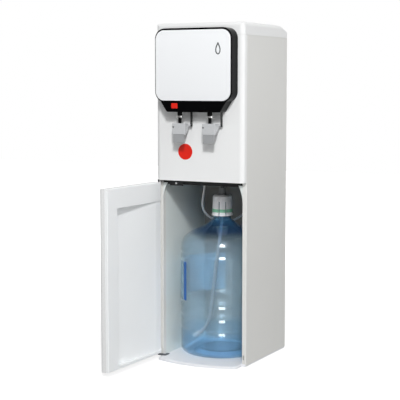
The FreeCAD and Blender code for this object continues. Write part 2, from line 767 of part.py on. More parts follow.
inset = 0.8
liner = block(door_x0 + inset, door_x1 - inset, seam_y, door_in, door_bottom + inset, door_top - inset)
posts = [e for e in liner.Edges if abs(e.BoundBox.YMin - door_in) < 1e-6]
liner = liner.makeFillet(2.0, posts)
room = block(door_x0 + moulding + clear, door_x1 - moulding - clear, door_out + moulding + clear, seam_y + 1,
             door_bottom + moulding + clear, door_top - moulding - clear)
liner = liner.fuse(tub(recess_wall).common(room)).cut(tub(0))
bearings = [(door_bottom + inset, door_bottom + inset + door_pin_grip + 3),
            (door_top - inset - door_pin_grip - 3, door_top - inset)]
ear_half = door_pin_d / 2 + door_pin_gap + 2.2
for z0, z1 in bearings:
    ear = block(door_x0 + inset, pivot_x + ear_half, pivot_y - ear_half, door_in, z0, z1)
    liner = liner.fuse(ear)
liner = liner.removeSplitter()
keep("door_liner", swing(liner))

# ---- bottle ----------------------------------------------------------------------------------
z0 = tray_height
R = bottle_r


def bottle_profile(inset, grooves):
    """Half section of the bottle from the axis round the outside to the neck."""
    r = R - inset
    low = z0 + inset
    pts = [(0, low + 12, 0), (r - 58, low + 12, 0), (r - 40, low, 0), (r, low, bottle_foot_r - inset)]
    for g in grooves:
        pts += [(r, z0 + g - bottle_groove_half, 0), (r - bottle_groove, z0 + g, 0),
                (r, z0 + g + bottle_groove_half, 0)]
    turn = z0 + bottle_straight + shoulder_rise - 0.64 * inset
    pts += [(r, turn, shoulder_r - inset), (r - shoulder_run, turn + shoulder_slope, 20.0),
            (bottle_neck_r + 8 - inset, cap_bottom - 17 - 0.64 * inset, 0),
            (bottle_neck_r - inset, cap_bottom - 10 - 0.64 * inset, 0)]
    return pts


rings = bottle_grooves + (bottle_straight - top_groove,)
outer = bottle_profile(0, rings) + [(bottle_neck_r, bottle_neck_top, 0), (0, bottle_neck_top, 0)]
inner = bottle_profile(bottle_wall, rings) + [(bottle_neck_r - bottle_wall, bottle_neck_top + 9, 0),
                                              (0, bottle_neck_top + 9, 0)]
bottle = spun(outer, 0, bottle_y).cut(spun(inner, 0, bottle_y))
keep("water_bottle", bottle)

cap = [(bottle_neck_r + clear, cap_bottom, 0), (cap_r, cap_bottom, 0), (cap_r, cap_bottom + 5, 0),
       (cap_r - 1.6, cap_bottom + 7, 0), (cap_top_r, cap_top - cap_crown, 3.0), (cap_top_r - cap_crown, cap_top, 2.5),
       (0, cap_top, 0), (0, cap_top - cap_wall, 0), (cap_top_r - 10, cap_top - cap_wall, 0),
       (bottle_neck_r + clear, bottle_neck_top + 6, 0)]
cap = spun(cap, 0, bottle_y)


def cap_slits(depth_r):
    """Upright cuts of the cap's skirt, from outside down to one radius."""
    cuts = []
    for angle in (-83.0, -43.0, 97.0, 137.0):
        cut = block(depth_r, cap_r + 3, -cap_slit / 2, cap_slit / 2, cap_bottom - 1, cap_slit_top)
        cut.rotate(V(0, 0, 0), V(0, 0, 1), angle)
        cut.translate(V(0, bottle_y, 0))
        cuts.append(cut)
    return cuts


tube_hole = rod(dip_tube_d + 2 * clear, (0, bottle_y, cap_bottom), (0, bottle_y, cap_top + 5))
cap = cap.cut(cap_slits(bottle_neck_r - 1) + [tube_hole])
slope = (cap_r - 1.6 - cap_top_r) / (cap_top - cap_crown - cap_bottom - 7)


def cap_radius(z):
    return cap_r - 1.6 - slope * (z - cap_bottom - 7)


low_r = cap_radius(cap_band_low)
high_r = cap_radius(cap_band_high)
groove = spun([(low_r - 1.0, cap_band_low, 0), (low_r + 3, cap_band_low, 0), (high_r + 3, cap_band_high, 0),
               (high_r - 1.0, cap_band_high, 0)], 0, bottle_y)
cap = cap.cut(groove)
keep("bottle_cap", cap)
band = spun([(low_r - 1.0 + clear / 2, cap_band_low + 0.1, 0), (low_r + cap_band, cap_band_low + 0.1, 0),
             (high_r + cap_band, cap_band_high - 0.1, 0), (high_r - 1.0 + clear / 2, cap_band_high - 0.1, 0)],
            0, bottle_y)
keep("cap_band", band.cut(cap_slits(bottle_neck_r)))


def path(points, radius_factor=0.45):
    """Wire of straight runs joined by tangent arcs through a list of points; prints its radii."""
    pts = [V(*p) for p in points]
    edges = []
    here = pts[0]
    radii = []
    for i in range(1, len(pts) - 1):
        a = pts[i - 1] - pts[i]
        b = pts[i + 1] - pts[i]
        turn = math.pi - a.getAngle(b)
        reach = radius_factor * min(a.Length, b.Length)
        r = reach / math.tan(turn / 2)
        radii.append(r)
        start = pts[i] + V(a).normalize() * reach
        end = pts[i] + V(b).normalize() * reach
        bis = (V(a).normalize() + V(b).normalize()).normalize()
        mid = pts[i] + bis * (r / math.cos(turn / 2) - r)
        edges.append(Part.LineSegment(here, start).toShape())
        edges.append(Part.Arc(start, mid, end).toShape())
        here = end
    edges.append(Part.LineSegment(here, pts[-1]).toShape())
    return Part.Wire(edges), radii


def ring_at(start, tangent, d, sides):
    """Regular polygon across a path, as wide as the tube."""
    t = V(tangent).normalize()
    u = t.cross(V(0.31, 0.87, 0.38)).normalize()
    w = t.cross(u)
    corners = []
    for k in range(sides):
        a = 2 * math.pi * k / sides
        corners.append(start + u * (d / 2 * math.cos(a)) + w * (d / 2 * math.sin(a)))
    return Part.makePolygon(corners + [corners[0]])


def tube(name, points, d, sides=10, bore=0.0):
    """Tube along a path, its volume checked against section times length."""
    wire, radii = path(points)
    a = V(*points[0])
    tangent = V(*points[1]) - a
    solid = wire.makePipeShell([ring_at(a, tangent, d, sides)], True, False)
    section = sides / 2 * (d / 2) ** 2 * math.sin(2 * math.pi / sides)
    ratio = solid.Volume / (section * wire.Length)
    print("%s length %.1f radii %s volume ratio %.4f"
          % (name, wire.Length, " ".join("%.0f" % r for r in radii), ratio))
    if bore:
        solid = solid.cut(wire.makePipeShell([ring_at(a, tangent, bore, sides)], True, False))
    return solid


dip_points = [(0, bottle_y, cap_top + 14), (0, bottle_y, z0 + 1.28 * bottle_straight),
              (-22, bottle_y - 1, z0 + 0.855 * bottle_straight), (-38, bottle_y, z0 + 0.46 * bottle_straight),
              (-46, bottle_y, z0 + 0.29 * bottle_straight), (-66, bottle_y, strainer_z + 16),
              (-strainer_x, bottle_y, strainer_z)]
keep("dip_tube", tube("dip_tube", dip_points, dip_tube_d, 10, dip_bore))
strainer_end = V(-strainer_x, bottle_y, strainer_z)
strainer_dir = V(-22, 0, -16).normalize()
tip = strainer_end + strainer_dir * 16
strainer = rod(dip_tube_d + 5, tuple(strainer_end - strainer_dir * 4), tuple(tip))
strainer = strainer.cut(rod(dip_tube_d, tuple(strainer_end - strainer_dir * 5), tuple(strainer_end)))
keep("dip_tube_strainer", strainer)

# suction elbow on the cap and the rigid pipe up through the ceiling
elbow = spun([(dip_tube_d / 2, cap_top + clear / 2, 0), (12.5, cap_top + clear / 2, 0), (11.0, cap_top + 20, 0),
              (dip_tube_d / 2, cap_top + 20, 0)], 0, bottle_y)
keep("cap_connector", elbow)
riser = rod(suction_hole_d - 2 * clear, (0, bottle_y, cap_top + 20 + clear / 2), (0, bottle_y, bay_ceiling_z + 40))
keep("suction_riser", riser.cut(rod(dip_bore, (0, bottle_y, cap_top + 19), (0, bottle_y, bay_ceiling_z + 41))))

# ---- pump, hose and its fittings -------------------------------------------------------------
pump_x = 78.0
pump_y = 92.0
pump_z = bay_ceiling_z - 50.0
pump_d = 44.0
pump_length = 62.0
pump = rod(pump_d, (pump_x - pump_length / 2, pump_y, pump_z), (pump_x + pump_length / 2, pump_y, pump_z))
head_piece = rod(pump_d + 6, (pump_x - pump_length / 2 - 16, pump_y, pump_z),
                 (pump_x - pump_length / 2, pump_y, pump_z))
nozzle_x = pump_x - pump_length / 2 - 8
nozzle = rod(hose_d + 4, (nozzle_x, pump_y, pump_z - pump_d / 2 - 10), (nozzle_x, pump_y, pump_z))
keep("water_pump", pump.fuse([head_piece, nozzle]).removeSplitter())
saddle_y = bay_back - clear / 2
saddle = block(pump_x - 20, pump_x + 20, pump_y, saddle_y, pump_z - pump_d / 2 - 6, pump_z + pump_d / 2 + 6)
saddle = saddle.cut(block(pump_x - 12, pump_x + 12, pump_y - 1, saddle_y - 3, 0, height))
saddle = saddle.cut(rod(pump_d + 2 * clear, (pump_x - 40, pump_y, pump_z), (pump_x + 40, pump_y, pump_z)))
keep("pump_bracket", saddle)

gland_low = bay_ceiling_z - 10
fitting = spun([(0, gland_low, 0), (hose_d / 2 + 3.5, gland_low, 0),
                (hose_d / 2 + 4.5, bay_ceiling_z, 0), (suction_hole_d / 2 - clear, bay_ceiling_z, 0),
                (suction_hole_d / 2 - clear, bay_ceiling_z + 6, 0), (0, bay_ceiling_z + 6, 0)],
               hose_hole_x, hose_hole_y)
keep("hose_gland", fitting)
nozzle_low = pump_z - pump_d / 2 - 10
hose_turns = [(-75, 8, -35), (-81, 9, -59), (-86, 14, -86), (-82, 27, -113), (-64, 46, -133), (-36, 66, -142),
              (-7, 81, -138), (18, 89, -122), (39, 92, -102)]
hose_points = [(hose_hole_x, hose_hole_y, gland_low)]
hose_points += [(x, y, bay_ceiling_z + drop) for x, y, drop in hose_turns]
hose_points.append((nozzle_x, pump_y, nozzle_low))
keep("water_hose", tube("water_hose", hose_points, hose_d))

# ---- hinges ----------------------------------------------------------------------------------
low_z = tray_height + clear / 2
low_end = pivot_x + low_hinge_length
low_plate = plate_z([(pivot_x - 5, pivot_y - 6, 4.0), (low_end, pivot_y - 2, 4.0),
                     (low_end, front - clear, 0), (pivot_x - 5, front - clear, 0)],
                    low_z, low_z + hinge_plate)
low_tab = block(pivot_x + flange + 2, low_end, front - clear - 1, front + jamb_return - 2,
                low_z, low_z + hinge_plate)
low_pin = rod(door_pin_d, (pivot_x, pivot_y, low_z), (pivot_x, pivot_y, door_bottom + door_pin_grip))
keep("lower_hinge", low_plate.fuse([low_tab, low_pin]).removeSplitter())
up_z = bay_top - clear / 2 - hinge_plate
up_end = pivot_x + high_hinge_length
up_plate = plate_z([(pivot_x - 4, pivot_y - 6, 4.0), (up_end, pivot_y - 6, 4.0),
                    (up_end, front + sheet, 0), (pivot_x - 2, front - clear, 0), (pivot_x - 4, front - clear, 0)],
                   up_z, up_z + hinge_plate)
up_pin = rod(door_pin_d, (pivot_x, pivot_y, door_top - door_pin_grip), (pivot_x, pivot_y, up_z + 1))
leaf_x0 = pivot_x + hinge_leaf_start
leaf_x1 = leaf_x0 + hinge_leaf
leaf_y = front + clear
leaf_tab = block(leaf_x0, leaf_x1, pivot_y, leaf_y + hinge_plate, up_z, up_z + hinge_plate)
leaf = plate_y(box_corners(leaf_x0, leaf_x1, up_z + 1 - hinge_leaf_height, up_z + 1, 0), leaf_y, leaf_y + hinge_plate)
keep("upper_hinge", up_plate.fuse([up_pin, leaf_tab, leaf]).removeSplitter())


def screw_y(x, y, z, d, out):
    """Pan head on a face square to Y; out is -1 when the head points to the front."""
    pts = [(x + d / 2 * math.cos(math.radians(45 * k)), z + d / 2 * math.sin(math.radians(45 * k)), 0) for k in range(8)]
    return plate_y(pts, min(y, y + out * screw_head), max(y, y + out * screw_head))


leaf_z = up_z + 1 - hinge_leaf_height / 2
keep("hinge_screw", screw_y((leaf_x0 + leaf_x1) / 2, leaf_y - clear / 6, leaf_z, screw_d + 1.2, -1))
hole_top = door_top + 1
sockets = [rod(door_pin_d + 2 * door_pin_gap, (pivot_x, pivot_y, door_bottom - 1),
               (pivot_x, pivot_y, door_bottom + door_pin_grip + 1)),
           rod(door_pin_d + 2 * door_pin_gap, (pivot_x, pivot_y, door_top - door_pin_grip - 1),
               (pivot_x, pivot_y, hole_top))]
liner_at_pins = nodes["door_liner"].cut(sockets)
keep("door_liner", liner_at_pins)
ears = [block(door_x0 - 1, pivot_x + ear_half + clear, pivot_y - ear_half - clear, door_in + 1,
              z0 + (-2 if k == 0 else 0) - clear, z1 + (0 if k == 0 else 2) + clear)
        for k, (z0, z1) in enumerate(bearings)]
keep("door_shell", nodes["door_shell"].cut([swing(ear) for ear in ears]))


# ---- cooling pieces above the bay --------------------------------------------------------------
foot_z = shelf_top + clear / 2 + grommet_height


def can_form(inset, z0, r, h, edge):
    """Closed can with a softened top, drawn in by an inset; edge is how far the top slopes."""
    low = z0 + inset
    top = z0 + h - inset
    r = r - inset
    edge = edge - 0.4 * inset
    return [(0, low, 0), (r, low, 0), (r, top - edge, 0), (r - 0.13 * edge, top - 0.5 * edge, 0),
            (r - 0.5 * edge, top - 0.13 * edge, 0), (r - edge, top, 0), (0, top, 0)]


can = spun(can_form(0, foot_z, compressor_r, compressor_height, 44.0), compressor_x, compressor_y)
seam_r = compressor_r + 3.0
seam_z = foot_z + compressor_height * 0.5
can = can.fuse(rod(2 * seam_r, (compressor_x, compressor_y, seam_z), (compressor_x, compressor_y, seam_z + 5)))
foot_reach = compressor_r + 8.0
feet = []
for angle in (90.0, 210.0, 330.0):
    a = math.radians(angle)
    feet.append((compressor_x + foot_reach * math.cos(a), compressor_y + foot_reach * math.sin(a)))
base_plate = plate_z([(x, y, 14.0) for x, y in feet], foot_z, foot_z + compressor_foot)
can = can.fuse(base_plate).removeSplitter()
can_room = spun(can_form(compressor_wall, foot_z, compressor_r, compressor_height, 44.0), compressor_x, compressor_y)
port = rod(pipe_d, (compressor_x, compressor_y, seam_z - 30), (compressor_x - seam_r, compressor_y, seam_z - 30))
keep("compressor", can.cut([can_room, port]))
grommets = []
inset_r = foot_reach - 24.0
for angle in (90.0, 210.0, 330.0):
    a = math.radians(angle)
    x = compressor_x + inset_r * math.cos(a)
    y = compressor_y + inset_r * math.sin(a)
    low = shelf_top + clear / 2
    grommets.append(rod(grommet_d, (x, y, low), (x, y, foot_z - clear / 2)))
keep("compressor_grommets", Part.makeCompound(grommets))

# shelf of the tanks, the tanks and their pipes to the taps and to the drain
tank_shelf = block(-half + sheet + clear, half - sheet - clear, front + jamb_return + clear,
                   rear_y - rear_return - clear, tank_shelf_z, tank_shelf_z + shelf)
pipe_hole = pipe_d + 3.0
hot_pipe_y = hot_tank_y - 14.0
cold_pipe_y = cold_tank_y - 14.0
holes = [rod(pipe_hole, (-tap_x, hot_pipe_y, tank_shelf_z - 1), (-tap_x, hot_pipe_y, tank_shelf_z + 9)),
         rod(pipe_hole, (tap_x, cold_pipe_y, tank_shelf_z - 1), (tap_x, cold_pipe_y, tank_shelf_z + 9)),
         rod(drain_pipe_d + 3, (drain_x, hot_tank_y + 18, tank_shelf_z - 1),
             (drain_x, hot_tank_y + 18, tank_shelf_z + 9))]
keep("tank_shelf", tank_shelf.cut(holes))
tank_z = tank_shelf_z + shelf + clear / 2


def tank(x, y, r, h, wall, ports):
    """Thin can with a hole in its floor over each pipe."""
    can = spun(can_form(0, tank_z, r, h, 16.0), x, y)
    room = spun(can_form(wall, tank_z, r, h, 16.0), x, y)
    holes = [rod(pipe_d - 3, (px, py, tank_z - 1), (px, py, tank_z + wall + 1)) for px, py in ports]
    return can.cut([room] + holes)


keep("hot_tank", tank(-tap_x - 9.0, hot_tank_y, hot_tank_r, hot_tank_height, tank_wall,
                      [(-tap_x, hot_pipe_y), (drain_x, hot_tank_y + 18)]))
keep("cold_tank", tank(cold_tank_x, cold_tank_y, cold_tank_r, cold_tank_height, cold_tank_wall,
                       [(tap_x, cold_pipe_y)]))
stem_back = front + 12
hot_pipe = [(-tap_x, stem_back, stem_z), (-tap_x, hot_pipe_y, stem_z), (-tap_x, hot_pipe_y, tank_z)]
cold_pipe = [(tap_x, stem_back, stem_z), (tap_x, cold_pipe_y, stem_z), (tap_x, cold_pipe_y, tank_z)]
keep("hot_water_pipe", tube("hot_water_pipe", hot_pipe, pipe_d, 8))
keep("cold_water_pipe", tube("cold_water_pipe", cold_pipe, pipe_d, 8))
drain_in = rear_y - sheet - 22.0
drain = [(drain_x, drain_in, drain_z), (drain_x, hot_tank_y + 18, drain_z), (drain_x, hot_tank_y + 18, tank_z)]
keep("drain_pipe", tube("drain_pipe", drain, drain_pipe_d, 8))
spigot = rod(drain_d, (drain_x, drain_in, drain_z), (drain_x, rear_y + clear / 2, drain_z))
cap_end = rear_y + clear / 2 + drain_cap_height
pts = []
for k in range(10):
    a = math.radians(36 * k)
    pts.append((drain_x + drain_cap_d / 2 * math.cos(a), drain_z + drain_cap_d / 2 * math.sin(a), 0))
grip = plate_y(pts, rear_y + clear / 2, cap_end)
keep("drain_cap", spigot.fuse(grip))
gland = rod(gland_d, (gland_x, rear_y - sheet - 6, gland_z), (gland_x, rear_y + clear / 2, gland_z))
gland = gland.fuse(rod(gland_d + 8, (gland_x, rear_y + clear / 2, gland_z), (gland_x, rear_y + 4, gland_z)))
gland = gland.fuse(rod(gland_d, (gland_x, rear_y + 4, gland_z), (gland_x, rear_y + 11, gland_z)))
keep("power_gland", gland.cut(rod(gland_d - 5, (gland_x, rear_y + 3, gland_z), (gland_x, rear_y + 12, gland_z))))

# ---- condenser on the rear ----------------------------------------------------------------------
coil_y = back + condenser_stand
bend_r = condenser_pitch / 2
run = condenser_width / 2 - bend_r
edges = []
for k in range(condenser_runs):
    z = condenser_low + k * condenser_pitch
    sense = 1 if k % 2 == 0 else -1
    a = V(-sense * run, coil_y, z)
    b = V(sense * run, coil_y, z)
    edges.append(Part.LineSegment(a, b).toShape())
    if k < condenser_runs - 1:
        mid = V(sense * (run + bend_r), coil_y, z + bend_r)
        edges.append(Part.Arc(b, mid, V(sense * run, coil_y, z + condenser_pitch)).toShape())
coil_path = Part.Wire(edges)
ring = ring_at(V(-run, coil_y, condenser_low), V(1, 0, 0), condenser_tube, 8)
keep("condenser_coil", coil_path.makePipeShell([ring], True, False))


def bar(x, y, z0, z1):
    """Thin condenser wire with six sides."""
    pts = []
    for k in range(6):
        a = math.radians(60 * k + 30)
        pts.append((x + condenser_wire / math.sqrt(3) * math.cos(a), y + condenser_wire / math.sqrt(3) * math.sin(a), 0))
    return plate_z(pts, z0, z1)


wires = []
wire_y = coil_y + condenser_tube / 2 + condenser_wire / 2 + 0.05
top_z = condenser_low + (condenser_runs - 1) * condenser_pitch
for k in range(condenser_wires):
    x = -run + 2 * run * k / (condenser_wires - 1)
    wires.append(bar(x, wire_y, condenser_low - 8, top_z + 8))
keep("condenser_wires", Part.makeCompound(wires))
clips = []
for side in (-1, 1):
    for k in (1, condenser_runs - 2):
        z = condenser_low + k * condenser_pitch
        x = side * (run - 12)
        clip = block(x - 6, x + 6, rear_y + clear / 2, coil_y + condenser_tube / 2 - 0.2, z - 7, z + 7)
        clips.append(clip.cut(rod(condenser_tube + clear, (x - 7, coil_y, z), (x + 7, coil_y, z))))
keep("condenser_clips", Part.makeCompound(clips))

# ---- rocker switches on the rear ----------------------------------------------------------------
bezels = []
rocker_y = rear_y + 0.5
for name, side in (("hot", -1), ("cold", 1)):
    x = side * rocker_x
    rim_w = bezel_w + bezel_rim
    rim_h = bezel_h + bezel_rim
    y0 = rear_y - 9.0
    bezel = block(x - bezel_w, x + bezel_w, y0, rear_y + clear / 2, rocker_z - bezel_h, rocker_z + bezel_h)
    bezel = bezel.fuse(block(x - rim_w, x + rim_w, rear_y + clear / 2, rear_y + 2.0, rocker_z - rim_h, rocker_z + rim_h))
    room_w = rocker_width / 2 + rocker_gap
    room_h = rocker_height / 2 + rocker_end_gap
    bezel = bezel.cut(block(x - room_w, x + room_w, y0 + 1.5, rear_y + 3, rocker_z - room_h, rocker_z + room_h))
    pin_reach = room_w + bezel_wall * 0.6
    bezel = bezel.cut(rod(rocker_pin_d + 0.5, (x - pin_reach - 0.3, rocker_y, rocker_z), (x + pin_reach + 0.3, rocker_y, rocker_z)))
    bezels.append(bezel)
    w = rocker_width / 2
    h = rocker_height / 2
    form = [(rocker_y - 4.0, rocker_z - 3.5, 0), (rocker_y - 2.0, rocker_z - h, 1.0), (rocker_y + 3.5, rocker_z - h, 0.8),
            (rocker_y + 2.2, rocker_z, 0), (rocker_y + 3.5, rocker_z + h, 0.8), (rocker_y - 2.0, rocker_z + h, 1.0),
            (rocker_y - 4.0, rocker_z + 3.5, 0)]
    rocker = plate_x(form, x - w, x + w)
    rocker.rotate(V(x, rocker_y, rocker_z), V(1, 0, 0), -rocker_tilt)
    rocker = rocker.fuse(rod(rocker_pin_d, (x - pin_reach, rocker_y, rocker_z), (x + pin_reach, rocker_y, rocker_z)))
    keep(name + "_rocker", rocker)
keep("rocker_bezels", Part.makeCompound(bezels))

# ---- screws of the rear panel -------------------------------------------------------------------
screws = []
first_z = rear_low + screw_low
last_z = lid_bottom - screw_high
for side in (-1, 1):
    for share in screw_shares:
        z = first_z + share * (last_z - first_z)
        screws.append(screw_y(side * (rear_half - 5), rear_y + 0.05, z, screw_d, 1))
keep("rear_screws", Part.makeCompound(screws))

for name, shape in nodes.items():
    shape.exportStep("parts/" + name + ".step")
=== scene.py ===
import math

import bmesh
import bpy
from bpy.props import FloatProperty, FloatVectorProperty, IntProperty, PointerProperty
from mathutils import Matrix, Vector


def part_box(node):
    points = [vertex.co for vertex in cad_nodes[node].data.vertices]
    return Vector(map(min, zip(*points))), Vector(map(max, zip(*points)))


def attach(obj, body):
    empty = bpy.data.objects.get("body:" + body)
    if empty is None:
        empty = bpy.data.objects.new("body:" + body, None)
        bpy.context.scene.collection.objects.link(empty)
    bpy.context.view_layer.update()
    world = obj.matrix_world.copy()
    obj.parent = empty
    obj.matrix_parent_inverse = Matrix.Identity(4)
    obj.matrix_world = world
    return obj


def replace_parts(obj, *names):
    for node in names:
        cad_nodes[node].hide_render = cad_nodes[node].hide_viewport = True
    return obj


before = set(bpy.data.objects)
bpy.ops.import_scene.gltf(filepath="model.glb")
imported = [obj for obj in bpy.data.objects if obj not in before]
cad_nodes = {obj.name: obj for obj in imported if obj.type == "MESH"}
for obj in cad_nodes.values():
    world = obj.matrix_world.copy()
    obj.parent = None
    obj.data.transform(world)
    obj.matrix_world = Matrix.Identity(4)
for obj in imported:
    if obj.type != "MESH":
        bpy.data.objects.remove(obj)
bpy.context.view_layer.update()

bl_info = {
    "name": "Bottom Load Water Cooler",
    "version": (1, 0, 0),
    "blender": (4, 5, 0),
    "location": "View3D > Sidebar > Water Cooler",
    "description": "Finishes, small fittings, water hose and studio for a bottom load water cooler",
    "category": "Object",
}

MM = 0.001


def linear(code):
    """Linear colour from an sRGB hex value."""
    channels = []
    for start in (1, 3, 5):
        value = int(code[start:start + 2], 16) / 255
        channels.append(value / 12.92 if value <= 0.04045 else ((value + 0.055) / 1.055) ** 2.4)
    return tuple(channels)


# ---- sizes and colours ----------------------------------------------------------------------

class WATER_COOLER_PG_sizes(bpy.types.PropertyGroup):
    """Sizes of the small pieces that are added to the frame."""

    hose_diameter: FloatProperty(
        name="Hose diameter", description="Outside diameter of the slack silicone hose",
        default=7 * MM, min=4 * MM, max=10 * MM, unit="LENGTH")
    sticker_diameter: FloatProperty(
        name="Sticker diameter", description="Round sticker below the taps",
        default=49 * MM, min=20 * MM, max=70 * MM, unit="LENGTH")
    sticker_thickness: FloatProperty(
        name="Sticker thickness", description="Vinyl and adhesive together",
        default=0.4 * MM, min=0.1 * MM, max=1 * MM, unit="LENGTH")
    screw_head: FloatProperty(
        name="Screw head", description="Diameter of the pan head screws at the back",
        default=6.4 * MM, min=4 * MM, max=9 * MM, unit="LENGTH")
    screw_rise: FloatProperty(
        name="Screw head height", description="How far a pan head stands proud",
        default=1.8 * MM, min=1 * MM, max=3 * MM, unit="LENGTH")
    clip_wire: FloatProperty(
        name="Hose clip wire", description="Wire of the spring clips on the hose",
        default=1.0 * MM, min=0.5 * MM, max=2 * MM, unit="LENGTH")
    stud_diameter: FloatProperty(
        name="Stud diameter", description="Dark studs on the levers' front plates",
        default=4.6 * MM, min=3 * MM, max=7 * MM, unit="LENGTH")
    label_height: FloatProperty(
        name="Label height", description="Height of the plain film round the bottle",
        default=122 * MM, min=40 * MM, max=135 * MM, unit="LENGTH")
    film_thickness: FloatProperty(
        name="Film thickness", description="Thickness of the label film",
        default=0.15 * MM, min=0.05 * MM, max=0.4 * MM, unit="LENGTH")


class WATER_COOLER_PG_colours(bpy.types.PropertyGroup):
    """Colours of the visible finishes."""

    cabinet: FloatVectorProperty(
        name="Cabinet", description="Powder coat of the side panels", subtype="COLOR", size=3,
        min=0, max=1, default=linear("#DEDEDB"))
    mouldings: FloatVectorProperty(
        name="Mouldings", description="White plastic of the door, front panel and lid", subtype="COLOR",
        size=3, min=0, max=1, default=linear("#EAEBEB"))
    face: FloatVectorProperty(
        name="Face plate", description="Gloss white face of the drink head", subtype="COLOR", size=3,
        min=0, max=1, default=linear("#F7F9FB"))
    head: FloatVectorProperty(
        name="Drink head", description="Gloss black housing", subtype="COLOR", size=3,
        min=0, max=1, default=linear("#060607"))
    accent: FloatVectorProperty(
        name="Accent", description="Safety button and round sticker", subtype="COLOR", size=3,
        min=0, max=1, default=linear("#E0200E"))
    bottle: FloatVectorProperty(
        name="Bottle", description="Tint of the bottle", subtype="COLOR", size=3,
        min=0, max=1, default=(0.715, 0.825, 0.89))


def sizes():
    return bpy.context.scene.water_cooler_sizes


def colours():
    return bpy.context.scene.water_cooler_colours


# ---- materials ------------------------------------------------------------------------------

def add(tree, kind, values=None, links=None, **settings):
    """Adds one shader node, with its settings, socket values and links."""
    step = tree.nodes.new(kind)
    for key, value in settings.items():
        setattr(step, key, value)
    for key, value in (values or {}).items():
        step.inputs[key].default_value = value
    for key, source in (links or {}).items():
        tree.links.new(source, step.inputs[key])
    return step


def ranged(tree, value, to_low, to_high, from_low=0.0, from_high=1.0):
    """Maps a value from one range to another, and stops at its ends."""
    ends = {"From Min": from_low, "From Max": from_high, "To Min": to_low, "To Max": to_high}
    return add(tree, "ShaderNodeMapRange", ends, {"Value": value}).outputs["Result"]


def blended(tree, share, first, second):
    """A colour between two others."""
    return add(tree, "ShaderNodeMix", {6: first, 7: second}, {0: share}, data_type="RGBA").outputs[2]


def calc(tree, operation, *terms):
    """One step of arithmetic on numbers and sockets."""
    numbers = {index: term for index, term in enumerate(terms) if isinstance(term, (int, float))}
    sockets = {index: term for index, term in enumerate(terms) if index not in numbers}
    return add(tree, "ShaderNodeMath", numbers, sockets, operation=operation).outputs["Value"]


def split(tree, vector):
    """The X, Y and Z sockets of a vector."""
    return add(tree, "ShaderNodeSeparateXYZ", None, {"Vector": vector}).outputs


def show(tree, closure):
    """Makes a shader the material's surface."""
    tree.links.new(closure, tree.nodes["Material Output"].inputs["Surface"])


def new_finish(name, **sockets):
    """A material with one Principled shader; returns it with its tree, shader and object place."""
    material = bpy.data.materials.new(name)
    material.use_nodes = True
    tree = material.node_tree
    tree.nodes.clear()
    shader = add(tree, "ShaderNodeBsdfPrincipled")
    for key, value in sockets.items():
        shader.inputs[key.replace("_", " ")].default_value = value
    add(tree, "ShaderNodeOutputMaterial", None, {"Surface": shader.outputs["BSDF"]})
    place = add(tree, "ShaderNodeTexCoord").outputs["Object"]
    return material, tree, shader, place


def shade(colour, factor):
    """The same colour, lighter or darker, as a socket value."""
    return tuple(min(channel * factor, 1.0) for channel in colour[:3]) + (1.0,)


def tinted(tree, place, shader, colour, spread, patch):
    """A colour that drifts darker and lighter over patches of a real size."""
    cloud = add(tree, "ShaderNodeTexNoise", {"Scale": 1 / patch, "Detail": 3.0}, {"Vector": place})
    drift = blended(tree, cloud.outputs["Fac"], shade(colour, 1 - spread), shade(colour, 1 + spread))
    tree.links.new(drift, shader.inputs["Base Color"])


def bumped(tree, shader, height, depth, strength):
    """Turns a pattern into relief of a real depth."""
    bump = add(tree, "ShaderNodeBump", {"Strength": strength, "Distance": depth}, {"Height": height})
    tree.links.new(bump.outputs["Normal"], shader.inputs["Normal"])


def grained(tree, place, shader, grain, depth, strength=1.0, detail=2.0):
    """Surface grain of a real size and depth."""
    noise = add(tree, "ShaderNodeTexNoise", {"Scale": 1 / grain, "Detail": detail}, {"Vector": place})
    bumped(tree, shader, noise.outputs["Fac"], depth, strength)
    return noise.outputs["Fac"]


def powder_coat(name, colour, roughness=0.36):
    """Polyester powder baked on sheet steel: an even satin sheen broken by faint orange peel.
    Real peel is about 1.5 mm across; 4 mm here so that it shows."""
    material, tree, shader, place = new_finish(name, Roughness=roughness, IOR=1.5)
    tinted(tree, place, shader, colour, 0.02, 160 * MM)
    grained(tree, place, shader, 4 * MM, 0.05 * MM, 0.6)
    return material


def moulded_abs(name, colour, roughness=0.3):
    """Injection moulded ABS: clean colour, soft highlights, a fine spark-eroded grain.
    Real grain is about 0.3 mm; drawn at 2.5 mm so that it shows."""
    material, tree, shader, place = new_finish(name, IOR=1.53)
    tinted(tree, place, shader, colour, 0.015, 120 * MM)
    grain = grained(tree, place, shader, 2.5 * MM, 0.03 * MM)
    tree.links.new(ranged(tree, grain, roughness - 0.05, roughness + 0.06), shader.inputs["Roughness"])
    return material


def gloss_face(name, colour):
    """Back-painted acrylic sheet: a wet gloss over cool white, a little greyer towards its foot."""
    material, tree, shader, place = new_finish(name, Roughness=0.08, IOR=1.49, Coat_Weight=0.6,
                                               Coat_Roughness=0.03)
    low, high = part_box("head_face_plate")
    rise = ranged(tree, split(tree, place)["Z"], 0.0, 1.0, low[2], high[2])
    white = blended(tree, rise, shade(colour, 0.93), shade(colour, 1.0))
    tree.links.new(white, shader.inputs["Base Color"])
    return material


def gloss_black(name, colour, roughness=0.12):
    """Polished black ABS: deep colour, narrow highlights and the slight waves of a thick wall."""
    material, tree, shader, place = new_finish(name, IOR=1.53, Roughness=roughness,
                                               Specular_IOR_Level=0.05)
    tinted(tree, place, shader, colour, 0.15, 60 * MM)
    grained(tree, place, shader, 35 * MM, 0.12 * MM, 0.3)
    return material


